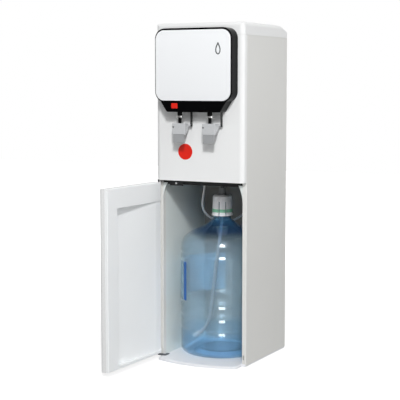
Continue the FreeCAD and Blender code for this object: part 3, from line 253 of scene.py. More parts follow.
LAMP_TINT = (0.90, 0.935, 0.96, 1.0)     # of lamp light, at each face of the bottle's wall
BOTTLE_TINTS = (            # height above the floor in mm, share of the bottle's colour, haze
    (34, (0.64, 0.81, 0.93), 0.04),
    (72, (0.68, 0.84, 0.95), 0.04),
    (90, (1.0, 1.0, 1.0), 0.03),
    (388, (1.0, 1.0, 1.0), 0.03),
    (402, (0.22, 0.36, 0.62), 0.05),
    (440, (0.30, 0.60, 0.80), 0.06),
)


def blue_polycarbonate(name, colour):
    """Blown polycarbonate: clear tinted wall, hazy and uneven, with a deeper blue where it is thick, at
    the neck and the foot, under a skin with sharp highlights. Lamps pass through with a weaker tint."""
    material, tree, shader, place = new_finish(name, IOR=1.3, Roughness=0.16, Coat_Weight=1.0,
                                               Coat_Roughness=0.05, Coat_IOR=1.5)
    low, high = BOTTLE_TINTS[0][0], BOTTLE_TINTS[-1][0]
    rise = ranged(tree, split(tree, place)["Z"], 0.0, 1.0, low * MM, high * MM)
    tint = add(tree, "ShaderNodeValToRGB", None, {"Fac": rise})
    clarity = add(tree, "ShaderNodeValToRGB", None, {"Fac": rise})
    for row in BOTTLE_TINTS[1:-1]:
        for ramp in (tint, clarity):
            ramp.color_ramp.elements.new((row[0] - low) / (high - low))
    for index, (_, share, haze) in enumerate(BOTTLE_TINTS):
        tint.color_ramp.elements[index].color = [a * b for a, b in zip(colour, share)] + [1.0]
        clarity.color_ramp.elements[index].color = (1 - haze, 1 - haze, 1 - haze, 1.0)
    tree.links.new(tint.outputs["Color"], shader.inputs["Base Color"])
    tree.links.new(clarity.outputs["Color"], shader.inputs["Transmission Weight"])
    grained(tree, place, shader, 45 * MM, 0.8 * MM, 0.5, 1.5)
    shadow = add(tree, "ShaderNodeLightPath").outputs["Is Shadow Ray"]
    clear = add(tree, "ShaderNodeBsdfTransparent", {"Color": LAMP_TINT})
    mix = add(tree, "ShaderNodeMixShader", None,
              {0: shadow, 1: shader.outputs["BSDF"], 2: clear.outputs["BSDF"]})
    show(tree, mix.outputs["Shader"])
    return material


def waxy(name, weight, radius, **sockets):
    """A new finish that light enters for a short way, as it does in soft plastics."""
    return new_finish(name, Subsurface_Weight=weight, Subsurface_Radius=(radius, radius, radius),
                      Subsurface_Scale=1.0, **sockets)


def milky_tube(name, colour, clarity):
    """Extruded silicone or polyethylene tube: milky, waxy and partly see-through."""
    material, tree, shader, place = waxy(name, 0.2, 2 * MM, IOR=1.42, Roughness=0.3,
                                         Transmission_Weight=clarity)
    tinted(tree, place, shader, colour, 0.03, 20 * MM)
    grained(tree, place, shader, 3 * MM, 0.05 * MM, 0.5)
    return material


def waxy_polypropylene(name, colour):
    """Moulded polypropylene: waxy and slightly translucent, with a soft broad sheen."""
    material, tree, shader, place = waxy(name, 0.15, 1.5 * MM, IOR=1.49, Roughness=0.36)
    tinted(tree, place, shader, colour, 0.02, 30 * MM)
    grained(tree, place, shader, 2.5 * MM, 0.04 * MM, 0.6)
    return material


def drawn_stainless(name, colour, along, roughness=0.28):
    """Brushed or drawn steel: fine lines along one axis stretch its highlights across them.
    Real scratches are 0.1 mm apart; 1 mm here so that they show."""
    material, tree, shader, place = new_finish(name, Metallic=1.0)
    stretch = [1 / MM, 1 / MM, 1 / MM]
    stretch[along] = 1 / (40 * MM)
    scaled = add(tree, "ShaderNodeMapping", {"Scale": stretch}, {"Vector": place})
    lines = grained(tree, scaled.outputs["Vector"], shader, 1.0, 0.02 * MM, 0.3, 3.0)
    tree.links.new(ranged(tree, lines, roughness - 0.08, roughness + 0.12), shader.inputs["Roughness"])
    tinted(tree, place, shader, colour, 0.05, 50 * MM)
    return material


def galvanised(name, colour):
    """Hot-dip zinc on sheet steel: grey with flat crystals about 8 mm across."""
    material, tree, shader, place = new_finish(name, Metallic=0.85)
    flakes = add(tree, "ShaderNodeTexVoronoi", {"Scale": 1 / (9 * MM)}, {"Vector": place})
    level = add(tree, "ShaderNodeSeparateColor", None, {"Color": flakes.outputs["Color"]})
    grey = blended(tree, level.outputs["Red"], shade(colour, 0.82), shade(colour, 1.12))
    tree.links.new(grey, shader.inputs["Base Color"])
    tree.links.new(ranged(tree, level.outputs["Green"], 0.32, 0.5), shader.inputs["Roughness"])
    return material


def stove_enamel(name, colour, roughness=0.42):
    """Black stoved paint on tube, wire and pressed steel: satin, with small runs and dust nibs."""
    material, tree, shader, place = new_finish(name, IOR=1.5, Roughness=roughness)
    tinted(tree, place, shader, colour, 0.2, 25 * MM)
    grained(tree, place, shader, 3 * MM, 0.08 * MM, 0.6, 4.0)
    return material


def matt_nylon(name, colour, roughness=0.5):
    """Glass-filled nylon: dull, with a faint cloudy flow pattern and a coarse grain."""
    material, tree, shader, place = new_finish(name, IOR=1.53, Roughness=roughness)
    tinted(tree, place, shader, colour, 0.12, 18 * MM)
    grained(tree, place, shader, 1.5 * MM, 0.06 * MM, 0.7, 3.0)
    return material


def closed_foam(name, colour):
    """Closed-cell foam jacket: matt, dark, pitted with cells about 3 mm across."""
    material, tree, shader, place = new_finish(name, IOR=1.4, Roughness=0.9)
    cells = add(tree, "ShaderNodeTexVoronoi", {"Scale": 1 / (3 * MM)}, {"Vector": place})
    bumped(tree, shader, cells.outputs["Distance"], 0.4 * MM, 0.6)
    tinted(tree, place, shader, colour, 0.15, 15 * MM)
    return material


def yellow_brass(name, colour):
    """Turned brass: warm metal with a light tarnish in patches."""
    material, tree, shader, place = new_finish(name, Metallic=1.0, Roughness=0.3)
    tinted(tree, place, shader, colour, 0.12, 8 * MM)
    grained(tree, place, shader, 1 * MM, 0.03 * MM, 0.5)
    return material


def vinyl(name, colour):
    """Calendered vinyl film: flat colour under a smooth low gloss."""
    material, tree, shader, place = new_finish(name, IOR=1.5, Roughness=0.32)
    tinted(tree, place, shader, colour, 0.04, 15 * MM)
    grained(tree, place, shader, 6 * MM, 0.03 * MM, 0.4)
    return material


def label_film(name, middle):
    """Plain polypropylene film: pale and half clear, with one printed blue band along its end."""
    material, tree, shader, place = new_finish(name, IOR=1.49, Roughness=0.25)
    centred = add(tree, "ShaderNodeVectorMath", {1: (-middle[0], -middle[1], 0)}, {0: place},
                  operation="ADD")
    axes = split(tree, centred.outputs["Vector"])
    turn = calc(tree, "ARCTAN2", axes["Y"], axes["X"])
    near_end = calc(tree, "GREATER_THAN", turn, math.radians(LABEL_TO - LABEL_BAND))
    front = calc(tree, "LESS_THAN", axes["Y"], 0.0)
    band = calc(tree, "MULTIPLY", near_end, front)
    tree.links.new(blended(tree, band, LABEL_PALE, LABEL_BLUE), shader.inputs["Base Color"])
    tree.links.new(ranged(tree, band, 0.33, 0.95), shader.inputs["Alpha"])
    return material


def dress(material, *names):
    """Gives CAD nodes their finish."""
    for name in names:
        piece = cad_nodes[name]
        if not piece.data.materials:
            piece.data.materials.append(material)
        for slot in piece.material_slots:
            slot.material = material


# ---- modelling ------------------------------------------------------------------------------

def deselect():
    bpy.ops.object.select_all(action="DESELECT")


def active():
    return bpy.context.view_layer.objects.active


def apply_modifier(piece, kind, **settings):
    """Adds a modifier with its settings and applies it."""
    bpy.context.view_layer.objects.active = piece
    modifier = piece.modifiers.new(kind.title(), kind)
    for key, value in settings.items():
        setattr(modifier, key, value)
    bpy.ops.object.modifier_apply(modifier=modifier.name)


def settle(piece, name, body, material, smooth=35):
    """Puts a new piece's place into its mesh and gives it its name, finish and body."""
    deselect()
    piece.select_set(True)
    bpy.context.view_layer.objects.active = piece
    bpy.ops.object.transform_apply(location=True, rotation=True, scale=True)
    bpy.ops.object.shade_smooth_by_angle(angle=math.radians(smooth))
    piece.name = name
    piece.data.name = name
    piece.data.materials.clear()
    piece.data.materials.append(material)
    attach(piece, body)
    deselect()
    return piece


def joined(parts):
    """One object from several."""
    deselect()
    for part in parts:
        part.select_set(True)
    bpy.context.view_layer.objects.active = parts[0]
    bpy.ops.object.join()
    return parts[0]


def outward(piece):
    """Merges doubles and turns all faces outwards."""
    deselect()
    piece.select_set(True)
    bpy.context.view_layer.objects.active = piece
    bpy.ops.object.mode_set(mode="EDIT")
    bpy.ops.mesh.select_all(action="SELECT")
    bpy.ops.mesh.remove_doubles(threshold=0.01 * MM)
    bpy.ops.mesh.normals_make_consistent(inside=False)
    bpy.ops.object.mode_set(mode="OBJECT")


# ---- water hose -----------------------------------------------------------------------------

HOSE_ROUTE = ((-75, 8, 546), (-75, 8, 521), (-81, 9, 497), (-86, 14, 470), (-82, 27, 443), (-64, 46, 423),
              (-36, 66, 414), (-7, 81, 418), (18, 89, 434), (39, 92, 454), (39, 92, 474))


class WATER_COOLER_OT_water_hose(bpy.types.Operator):
    """Makes the slack silicone hose from the gland in the bay ceiling to the pump"""

    bl_idname = "water_cooler.water_hose"
    bl_label = "Water hose"

    def execute(self, context):
        deselect()
        curve = bpy.data.curves.new("silicone_water_hose", "CURVE")
        curve.dimensions = "3D"
        curve.resolution_u = 8
        curve.bevel_depth = sizes().hose_diameter / 2
        curve.bevel_resolution = 4
        spline = curve.splines.new("NURBS")
        spline.points.add(len(HOSE_ROUTE) - 1)
        for point, place in zip(spline.points, HOSE_ROUTE):
            point.co = (place[0] * MM, place[1] * MM, place[2] * MM, 1.0)
        spline.order_u = 3
        spline.use_endpoint_u = True
        hose = bpy.data.objects.new("silicone_water_hose", curve)
        context.scene.collection.objects.link(hose)
        curve.materials.append(milky_tube("silicone_hose", linear("#FAFBFC"), 0.05))
        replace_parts(hose, "water_hose")
        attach(hose, "cabinet")
        return {"FINISHED"}


# ---- cabinet --------------------------------------------------------------------------------

class WATER_COOLER_OT_cabinet(bpy.types.Operator):
    """Finishes the cabinet, its base, lid and the bottle bay"""

    bl_idname = "water_cooler.cabinet"
    bl_label = "Cabinet and bay"

    def execute(self, context):
        dress(powder_coat("powder_coated_sides", colours().cabinet), "right_side_panel",
              "left_side_panel")
        dress(moulded_abs("moulded_abs_front", colours().mouldings), "upper_front_panel", "top_lid")
        dress(moulded_abs("moulded_abs_base", linear("#F0F1F5"), 0.34), "base_tray")
        dress(powder_coat("powder_coated_bay", linear("#DDE4E2"), 0.45), "right_bay_wall",
              "left_bay_wall", "bay_gussets")
        dress(powder_coat("powder_coated_bay_rear", linear("#A6A19A"), 0.5), "bay_rear_wall")
        # Near black: partly the ceiling's own black enamel and partly painted shade, so the top of the
        # bay and the band under the front panel read as deep shadow.
        dress(stove_enamel("black_enamel_and_shade_ceiling", linear("#0C0D0D"), 0.5), "bay_ceiling")
        dress(galvanised("galvanised_sheet", linear("#A9ABAD")), "rear_panel", "tank_shelf")
        return {"FINISHED"}


# ---- drink head -----------------------------------------------------------------------------

STICKER_PLACE = (-47.5 * MM, 655 * MM)
STICKER_ROUND = 0.4 * MM            # softened edge, and how far it rises
STICKER_ROUND_RISE = 0.08 * MM
STICKER_RIM = 2.2 * MM              # flat ring outside the fine line
STICKER_LINE = 0.5 * MM
STICKER_LINE_DEPTH = 0.1 * MM
MARK_PLACE = (86 * MM, 966 * MM)
MARK_SIZE = (13 * MM, 36 * MM)
MARK_FULLNESS = 1.6                 # the circle is wider than the drop that is shaped from it
MARK_TAPER = 0.55                   # share of the width that is gone at the tip
MARK_LINE = 3.4 * MM
MARK_RISE = 0.15 * MM
MARK_SINK = 0.05 * MM


class WATER_COOLER_OT_drink_head(bpy.types.Operator):
    """Finishes the drink head, and adds the round sticker and the drop mark"""

    bl_idname = "water_cooler.drink_head"
    bl_label = "Drink head"

    def execute(self, context):
        dress(gloss_black("gloss_black_abs", colours().head), "head_housing")
        dress(gloss_face("gloss_white_face", colours().face), "head_face_plate")
        dress(moulded_abs("red_button_abs", colours().accent, 0.25), "hot_safety_button")
        dress(matt_nylon("black_nylon_guide", linear("#17181A")), "safety_button_guide")
        self.round_sticker()
        self.drop_mark()
        return {"FINISHED"}

    def round_sticker(self):
        """A plain red disc with a thin raised rim line."""
        deselect()
        panel_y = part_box("upper_front_panel")[0][1]
        radius = sizes().sticker_diameter / 2
        bpy.ops.mesh.primitive_circle_add(vertices=72, radius=radius, fill_type="NGON",
                                          location=(STICKER_PLACE[0], panel_y, STICKER_PLACE[1]),
                                          rotation=(math.pi / 2, 0, 0))
        sticker = active()
        bpy.ops.object.mode_set(mode="EDIT")
        bpy.ops.mesh.select_all(action="SELECT")
        bpy.ops.mesh.extrude_region_move(
            TRANSFORM_OT_translate={"value": (0, -sizes().sticker_thickness, 0)})
        bpy.ops.mesh.inset(thickness=STICKER_ROUND)
        bpy.ops.transform.translate(value=(0, -STICKER_ROUND_RISE, 0))
        bpy.ops.mesh.inset(thickness=STICKER_RIM)
        bpy.ops.mesh.inset(thickness=STICKER_LINE)
        bpy.ops.transform.translate(value=(0, STICKER_LINE_DEPTH, 0))
        bpy.ops.object.mode_set(mode="OBJECT")
        outward(sticker)
        settle(sticker, "round_sticker", "cabinet", vinyl("red_vinyl", colours().accent),
               20)

    def drop_mark(self):
        """A small generic water drop, outlined in grey on the face plate."""
        deselect()
        face_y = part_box("head_face_plate")[0][1]
        bpy.ops.mesh.primitive_circle_add(vertices=40, radius=0.5, fill_type="NGON",
                                          location=(MARK_PLACE[0], face_y + MARK_SINK, MARK_PLACE[1]),
                                          rotation=(math.pi / 2, 0, 0))
        mark = active()
        for vertex in mark.data.vertices:
            reach = vertex.co.y + 0.5
            vertex.co.x *= (1 - MARK_TAPER * reach ** 1.5) * math.sqrt(max(1.0 - reach ** 6, 0.0))
        mark.scale = (MARK_SIZE[0] * MARK_FULLNESS, MARK_SIZE[1], 1.0)
        bpy.ops.object.transform_apply(location=False, rotation=False, scale=True)
        bpy.ops.object.mode_set(mode="EDIT")
        bpy.ops.mesh.select_all(action="SELECT")
        bpy.ops.mesh.remove_doubles(threshold=0.05 * MM)
        bpy.ops.mesh.select_all(action="SELECT")
        bpy.ops.mesh.inset(thickness=MARK_LINE)
        bpy.ops.mesh.delete(type="FACE")
        bpy.ops.mesh.select_all(action="SELECT")
        bpy.ops.mesh.extrude_region_move(TRANSFORM_OT_translate={"value": (0, -MARK_RISE, 0)})
        bpy.ops.object.mode_set(mode="OBJECT")
        outward(mark)
        settle(mark, "drop_mark", "cabinet", vinyl("grey_print", linear("#34383C")), 20)


# ---- taps -----------------------------------------------------------------------------------

STUD_PLACES = (("hot", -68.9, 731.4), ("cold", 33.1, 730.9))    # X and Z in mm on the front plates
STUD_SEAT = 0.3 * MM                # how far a stud goes into its plate


class WATER_COOLER_OT_taps(bpy.types.Operator):
    """Finishes the two push-lever taps, and adds the small studs on their front plates"""

    bl_idname = "water_cooler.taps"
    bl_label = "Taps"

    def execute(self, context):
        dress(gloss_black("black_tap_acetal", linear("#0B0B0C"), 0.3), "hot_tap_body", "cold_tap_body")
        dress(matt_nylon("black_yoke_nylon", linear("#101113"), 0.42), "hot_tap_yoke", "cold_tap_yoke")
        dress(moulded_abs("pale_grey_lever_abs", linear("#C0C2C4"), 0.28), "hot_tap_lever",
              "cold_tap_lever")
        dress(moulded_abs("grey_pad_abs", linear("#9A9C9E"), 0.4), "hot_lever_pad", "cold_lever_pad")
        dress(drawn_stainless("turned_stainless", linear("#D8D8D6"), 2, 0.22), "tap_collars")
        dress(stove_enamel("dark_pin_steel", linear("#2A2B2D"), 0.35), "lever_pins")
        dress(yellow_brass("yellow_brass", linear("#C9A558")), "tap_nuts")
        dark = matt_nylon("dark_stud_nylon", linear("#3A3C3F"), 0.4)
        for tap, x, z in STUD_PLACES:
            self.stud(tap, x * MM, z * MM, dark)
        return {"FINISHED"}

    def stud(self, tap, x, z, material):
        """A low domed stud with a dimple, at the upper left of a lever's front plate."""
        deselect()
        front_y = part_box(tap + "_tap_lever")[0][1]
        radius = sizes().stud_diameter / 2
        rise = sizes().stud_diameter / 4
        bpy.ops.mesh.primitive_cylinder_add(vertices=28, radius=radius, depth=rise + STUD_SEAT,
                                            location=(x, front_y - rise / 2 + STUD_SEAT / 2, z),
                                            rotation=(math.pi / 2, 0, 0))
        piece = active()
        bpy.ops.object.mode_set(mode="EDIT")
        mesh = bmesh.from_edit_mesh(piece.data)
        for face in mesh.faces:
            face.select = len(face.verts) > 4 and face.normal.z > 0.5
        bmesh.update_edit_mesh(piece.data)
        bpy.ops.mesh.bevel(offset=rise * 0.5, segments=3)
        bpy.ops.mesh.inset(thickness=radius * 0.3)
        bpy.ops.transform.translate(value=(0, rise * 0.3, 0))
        bpy.ops.object.mode_set(mode="OBJECT")
        settle(piece, tap + "_lever_stud", tap + "_lever", material, 40)


# ---- door -----------------------------------------------------------------------------------

class WATER_COOLER_OT_door(bpy.types.Operator):
    """Finishes the door's outer shell and its moulded liner"""

    bl_idname = "water_cooler.door"
    bl_label = "Door"

    def execute(self, context):
        dress(moulded_abs("moulded_abs_door", colours().mouldings, 0.28), "door_shell")
        dress(moulded_abs("moulded_liner_polystyrene", linear("#F3F5F6"), 0.35), "door_liner")
        return {"FINISHED"}


# ---- bottle ---------------------------------------------------------------------------------

LABEL_FROM = -248.0     # degrees round the bottle, 0 towards +X
LABEL_TO = -122.0
LABEL_BAND = 8.0        # printed band along the end of the film
LABEL_PALE = linear("#B4DAF0") + (1.0,)
LABEL_BLUE = linear("#1C5FB0") + (1.0,)
LABEL_FOOT = 183 * MM
LABEL_LIFT = 0.15 * MM
LABEL_STEPS = 42


class WATER_COOLER_OT_bottle(bpy.types.Operator):
    """Finishes the bottle and its dip tube cap, and wraps a plain film round the bottle"""

    bl_idname = "water_cooler.bottle"
    bl_label = "Bottle"

    def execute(self, context):
        dress(blue_polycarbonate("blue_polycarbonate", colours().bottle), "water_bottle")
        dress(waxy_polypropylene("waxy_cap_polypropylene", linear("#FBFBFE")), "bottle_cap")
        dress(waxy_polypropylene("green_band_polypropylene", linear("#8FD0AE")), "cap_band")
        dress(milky_tube("milky_dip_tube", linear("#D4DDE4"), 0.6), "dip_tube")
        dress(waxy_polypropylene("white_strainer", linear("#DDE2E6")), "dip_tube_strainer")
        dress(waxy_polypropylene("grey_elbow", linear("#8E9092")), "cap_connector")
        dress(matt_nylon("grey_riser", linear("#5E6060")), "suction_riser")
        self.label()
        return {"FINISHED"}

    def label(self):
        """A thin plain film that follows the bottle's wall from its left side round to the back."""
        deselect()
        low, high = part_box("water_bottle")
        middle = ((low[0] + high[0]) / 2, (low[1] + high[1]) / 2)
        radius = (high[0] - low[0]) / 2 + LABEL_LIFT
        height = sizes().label_height
        bpy.ops.mesh.primitive_grid_add(x_subdivisions=LABEL_STEPS, y_subdivisions=1, size=1)
        film = active()
        for vertex in film.data.vertices:
            turn = math.radians(LABEL_FROM + (LABEL_TO - LABEL_FROM) * (vertex.co.x + 0.5))
            vertex.co = (middle[0] + radius * math.cos(turn), middle[1] + radius * math.sin(turn),
                         LABEL_FOOT + height * (vertex.co.y + 0.5))
        outward(film)
        apply_modifier(film, "SOLIDIFY", thickness=sizes().film_thickness, offset=1.0)
        settle(film, "plain_label_film", "cabinet",
               label_film("polypropylene_film", middle), 30)


# ---- pump -----------------------------------------------------------------------------------

CLIP_PLACES = ((-75, 8, 541), (39, 92, 468))    # mm, near the two ends of the hose
CLIP_TURNS = 2.4 * MM                           # between the two turns of a clip
CLIP_EAR = 4.6 * MM                             # from the hose's middle to the bar that joins them


class WATER_COOLER_OT_pump(bpy.types.Operator):
    """Finishes the water pump and adds the wire clips that hold the hose"""

    bl_idname = "water_cooler.pump"
    bl_label = "Pump"

    def execute(self, context):
        dress(matt_nylon("black_pump_nylon", linear("#26241F"), 0.45), "water_pump")
        dress(galvanised("zinc_bracket", linear("#8D8A80")), "pump_bracket")
        dress(waxy_polypropylene("grey_gland", linear("#9A9C9E")), "hose_gland")
        self.hose_clips()
        return {"FINISHED"}

    def hose_clips(self):
        """Two spring clips of round wire, one at each end of the hose."""
        wire = sizes().clip_wire
        reach = sizes().hose_diameter / 2 + wire / 2
        clips = []
        for place in CLIP_PLACES:
            x, y, z = (value * MM for value in place)
            for rise in (-CLIP_TURNS / 2, CLIP_TURNS / 2):
                deselect()
                bpy.ops.mesh.primitive_torus_add(major_radius=reach, minor_radius=wire / 2,
                                                 major_segments=28, minor_segments=8,
                                                 location=(x, y, z + rise))
                clips.append(active())
            deselect()
            bpy.ops.mesh.primitive_cylinder_add(vertices=8, radius=wire / 2, depth=CLIP_TURNS + wire,
                                                location=(x, y - CLIP_EAR, z))
            ear = active()
            apply_modifier(ear, "BEVEL", width=wire / 6, segments=2)
            clips.append(ear)
        settle(joined(clips), "hose_clips", "cabinet",
               drawn_stainless("spring_steel_wire", linear("#B9BBBD"), 2), 40)


# ---- hinges and screws ----------------------------------------------------------------------

def screw_head(name, radius, rise):
    """A pan head with a crossed recess, its flat seat on the floor plane and its crown up."""
    deselect()
    bpy.ops.mesh.primitive_cylinder_add(vertices=32, radius=radius, depth=rise, location=(0, 0, rise / 2))
    head = active()
    bpy.ops.object.mode_set(mode="EDIT")
    mesh = bmesh.from_edit_mesh(head.data)
    for edge in mesh.edges:
        edge.select = all(vertex.co.z > 0 for vertex in edge.verts) and len(edge.link_faces) == 2 \
            and any(len(face.verts) > 8 for face in edge.link_faces)
    bmesh.update_edit_mesh(head.data)
    bpy.ops.mesh.bevel(offset=rise * 0.55, segments=4)
    bpy.ops.object.mode_set(mode="OBJECT")
    bpy.ops.object.transform_apply(location=True, rotation=False, scale=False)
    for turn in (0, math.pi / 2):
        deselect()
        bpy.ops.mesh.primitive_cube_add(size=1, location=(0, 0, rise), rotation=(0, 0, turn))
        bar = active()
        bar.scale = (radius * 1.15, radius * 0.24, rise * 1.1)
        bpy.ops.object.transform_apply(location=True, rotation=True, scale=True)
        apply_modifier(head, "BOOLEAN", object=bar, operation="DIFFERENCE", solver="EXACT")
        bpy.data.objects.remove(bar)
    head.name = name
    return head


def screw_copies(head, places, outward_axis):
    """Copies of a screw head, each with its own mesh, turned by a different amount."""
    copies = []
    for index, place in enumerate(places):
        copy = head.copy()
        copy.data = head.data.copy()
        bpy.context.scene.collection.objects.link(copy)
        tip = Vector((0, 0, 1)).rotation_difference(Vector(outward_axis)).to_matrix().to_4x4()
        turn = Matrix.Rotation(SCREW_TURN * index, 4, "Z")
        copy.data.transform(Matrix.Translation(Vector(place)) @ tip @ turn)
        copies.append(copy)
    bpy.data.objects.remove(head)
    return joined(copies)


SCREW_SHARES = (0.0, 0.29, 0.63, 1.0)   # rear screws, along the panel's height
SCREW_TURN = 0.7                        # each screw stands at another angle, in radians


class WATER_COOLER_OT_hinges(bpy.types.Operator):
    """Finishes the hinges and makes the screws with their crossed recesses"""

    bl_idname = "water_cooler.hinges"
    bl_label = "Hinges and screws"

    def execute(self, context):
        dress(stove_enamel("black_enamel_hinge", linear("#141516"), 0.38), "upper_hinge")
        dress(galvanised("zinc_lower_hinge", linear("#6E7278")), "lower_hinge")
        plated = drawn_stainless("zinc_plated_screws", linear("#E4E4E2"), 2, 0.24)
        low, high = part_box("hinge_screw")
        head = screw_head("screw", (high[0] - low[0]) / 2, high[1] - low[1])
        place = ((low[0] + high[0]) / 2, high[1], (low[2] + high[2]) / 2)
        front = screw_copies(head, [place], (0, -1, 0))
        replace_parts(settle(front, "hinge_screw_head", "cabinet", plated), "hinge_screw")
        low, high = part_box("rear_screws")
        head = screw_head("screw", sizes().screw_head / 2, sizes().screw_rise)
        radius = sizes().screw_head / 2
        across = (low[0] + radius, high[0] - radius)
        first = low[2] + radius
        span = high[2] - low[2] - 2 * radius
        places = [(x, low[1], first + share * span) for x in across for share in SCREW_SHARES]
        back = screw_copies(head, places, (0, 1, 0))
        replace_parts(settle(back, "rear_screw_heads", "cabinet", plated), "rear_screws")
        return {"FINISHED"}


# ---- cooling and rear -----------------------------------------------------------------------

class WATER_COOLER_OT_cooling(bpy.types.Operator):
    """Finishes the compressor, tanks, pipes, drain and condenser"""

    bl_idname = "water_cooler.cooling"
    bl_label = "Cooling and rear"

    def execute(self, context):
        black = stove_enamel("black_enamel_cooling", linear("#17181A"))
        dress(black, "compressor", "condenser_coil", "condenser_wires")
        dress(matt_nylon("black_clip_nylon", linear("#1B1C1E")), "condenser_clips")
        dress(closed_foam("grommet_rubber", linear("#222224")), "compressor_grommets")
        dress(drawn_stainless("drawn_stainless_tank", linear("#C4C6C6"), 2), "hot_tank")
        dress(closed_foam("closed_foam_jacket", linear("#3A3B3D")), "cold_tank")
        dress(milky_tube("silicone_pipes", linear("#DFE2E4"), 0.1), "hot_water_pipe", "cold_water_pipe",
              "drain_pipe")
        dress(waxy_polypropylene("grey_drain_cap", linear("#B9BBBD")), "drain_cap")
        dress(matt_nylon("black_cord_gland", linear("#151617"), 0.6), "power_gland")
        return {"FINISHED"}


class WATER_COOLER_OT_switches(bpy.types.Operator):
    """Finishes the two rocker switches at the back"""

    bl_idname = "water_cooler.switches"
    bl_label = "Rocker switches"

    def execute(self, context):
        dress(moulded_abs("red_rocker_abs", linear("#C8201A"), 0.22), "hot_rocker")
        dress(moulded_abs("blue_rocker_abs", linear("#2360B4"), 0.22), "cold_rocker")
        dress(matt_nylon("black_bezel_nylon", linear("#191A1B")), "rocker_bezels")
        return {"FINISHED"}


# ---- stage ----------------------------------------------------------------------------------

CAMERA_PLACE = (1.6141, -3.2395, 0.8669)
CAMERA_TURN = 27.7      # degrees towards +X
CAMERA_TILT = 5.9       # degrees down
CAMERA_LENS = 102.7
LAMPS = (               # name, place, what it points at, size, power
    ("key_lamp", (1.89, -3.59, 3.47), (0, -0.15, 0.55), 0.5, 136),
    ("side_lamp", (4.0, -1.0, 1.2), (0, -0.1, 0.5), 3.0, 33),
    ("softbox", (1.78, -3.65, 2.75), (0, -0.1, 0.3), 1.3, 38),
)
FLOOR_SIZE = 14.0
FLOOR_LIFT = 0.62       # glow of the paper near the cooler, as the camera sees it
FLOOR_NEAR = 0.9        # from here outwards the glow grows, so the paper runs into the white behind
FLOOR_FAR = 2.6
WORLD_LIGHT = 0.30      # light from the room on matt surfaces
ROOM_FRONT = (-0.6, 0.2)    # direction along Y and brightness, as gloss mirrors the room in front
ROOM_BACK = (0.1, 1.0)      # and behind


def studio_floor(name):
    """White paper sweep: matt, so the cooler's soft shadow stays, with a faint broad sheen."""
    material, tree, shader, place = new_finish(name, Roughness=0.35, IOR=1.3)
    tinted(tree, place, shader, linear("#BCBCBC"), 0.004, 0.8)
    reach = add(tree, "ShaderNodeVectorMath", None, {0: place}, operation="LENGTH").outputs["Value"]
    glow = ranged(tree, reach, FLOOR_LIFT, 1.0, FLOOR_NEAR, FLOOR_FAR)
    seen = add(tree, "ShaderNodeLightPath").outputs["Is Camera Ray"]
    light = add(tree, "ShaderNodeEmission", {"Color": (1, 1, 1, 1)},
                {"Strength": calc(tree, "MULTIPLY", seen, glow)})
    both = add(tree, "ShaderNodeAddShader", None,
               {0: shader.outputs["BSDF"], 1: light.outputs["Emission"]})
    show(tree, both.outputs["Shader"])
    return material


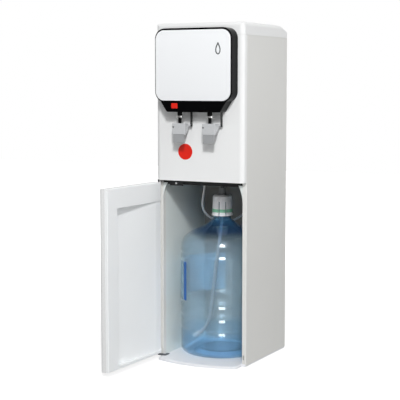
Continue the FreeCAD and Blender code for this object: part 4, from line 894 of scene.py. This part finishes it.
class WATER_COOLER_OT_stage(bpy.types.Operator):
    """Sets up the camera, lamps, world and floor"""

    bl_idname = "water_cooler.stage"
    bl_label = "Stage"

    def execute(self, context):
        self.camera(context)
        self.lamps()
        self.world(context)
        self.floor()
        context.scene.view_settings.view_transform = "Standard"
        return {"FINISHED"}

    def camera(self, context):
        deselect()
        bpy.ops.object.camera_add(location=CAMERA_PLACE,
                                  rotation=(math.radians(90 - CAMERA_TILT), 0, math.radians(CAMERA_TURN)))
        camera = active()
        camera.name = "photo_camera"
        camera.data.lens = CAMERA_LENS
        camera.data.sensor_width = 36
        camera.data.clip_end = 60
        context.scene.camera = camera

    def lamps(self):
        """A small key lamp high above the camera, a softbox under it, and a broad weak lamp level with
        the cabinet's right side."""
        for name, place, aim, size, power in LAMPS:
            deselect()
            bpy.ops.object.light_add(type="AREA", location=place)
            lamp = active()
            lamp.name = name
            lamp.data.size = size
            lamp.data.energy = power
            lamp.rotation_euler = (Vector(aim) - Vector(place)).to_track_quat("-Z", "Y").to_euler()

    def world(self, context):
        """White behind the cooler and through clear pieces; greyer where gloss mirrors the room."""
        world = bpy.data.worlds.new("white_studio")
        world.use_nodes = True
        tree = world.node_tree
        tree.nodes.clear()
        path = add(tree, "ShaderNodeLightPath").outputs
        view = add(tree, "ShaderNodeTexCoord").outputs["Generated"]
        room = ranged(tree, split(tree, view)["Y"], ROOM_FRONT[1], ROOM_BACK[1],
                      ROOM_FRONT[0], ROOM_BACK[0])
        mirror = add(tree, "ShaderNodeMix", {2: WORLD_LIGHT}, {0: path["Is Glossy Ray"], 3: room},
                     data_type="FLOAT")
        seen = calc(tree, "MAXIMUM", path["Is Camera Ray"], path["Is Transmission Ray"])
        level = add(tree, "ShaderNodeMix", {3: 1.0}, {0: seen, 2: mirror.outputs[0]}, data_type="FLOAT")
        sky = add(tree, "ShaderNodeBackground", {"Color": (1, 1, 1, 1)}, {"Strength": level.outputs[0]})
        add(tree, "ShaderNodeOutputWorld", None, {"Surface": sky.outputs["Background"]})
        context.scene.world = world

    def floor(self):
        deselect()
        bpy.ops.mesh.primitive_plane_add(size=FLOOR_SIZE, location=(0, 0, -0.1 * MM))
        floor = active()
        floor.name = "studio_floor"
        floor.data.materials.append(studio_floor("white_paper_sweep"))
        deselect()


# ---- add-on ---------------------------------------------------------------------------------

OPERATORS = (
    WATER_COOLER_OT_stage,
    WATER_COOLER_OT_water_hose,
    WATER_COOLER_OT_cabinet,
    WATER_COOLER_OT_drink_head,
    WATER_COOLER_OT_taps,
    WATER_COOLER_OT_door,
    WATER_COOLER_OT_bottle,
    WATER_COOLER_OT_pump,
    WATER_COOLER_OT_hinges,
    WATER_COOLER_OT_cooling,
    WATER_COOLER_OT_switches,
)


class WATER_COOLER_PT_panel(bpy.types.Panel):
    """Lists the cooler's sizes, colours and steps"""

    bl_label = "Water Cooler"
    bl_idname = "WATER_COOLER_PT_panel"
    bl_space_type = "VIEW_3D"
    bl_region_type = "UI"
    bl_category = "Water Cooler"

    def draw(self, context):
        for title, group in (("Sizes", context.scene.water_cooler_sizes),
                             ("Colours", context.scene.water_cooler_colours)):
            box = self.layout.box()
            box.label(text=title)
            for name in group.bl_rna.properties.keys():
                if name not in ("rna_type", "name"):
                    box.prop(group, name)
        for operator in OPERATORS:
            self.layout.operator(operator.bl_idname)


CLASSES = (WATER_COOLER_PG_sizes, WATER_COOLER_PG_colours) + OPERATORS + (WATER_COOLER_PT_panel,)


def register():
    for item in CLASSES:
        bpy.utils.register_class(item)
    bpy.types.Scene.water_cooler_sizes = PointerProperty(type=WATER_COOLER_PG_sizes)
    bpy.types.Scene.water_cooler_colours = PointerProperty(type=WATER_COOLER_PG_colours)


def unregister():
    del bpy.types.Scene.water_cooler_colours
    del bpy.types.Scene.water_cooler_sizes
    for item in reversed(CLASSES):
        bpy.utils.unregister_class(item)


def main():
    register()
    for operator in OPERATORS:
        group, name = operator.bl_idname.split(".")
        getattr(getattr(bpy.ops, group), name)()


if __name__ == "__main__":
    main()
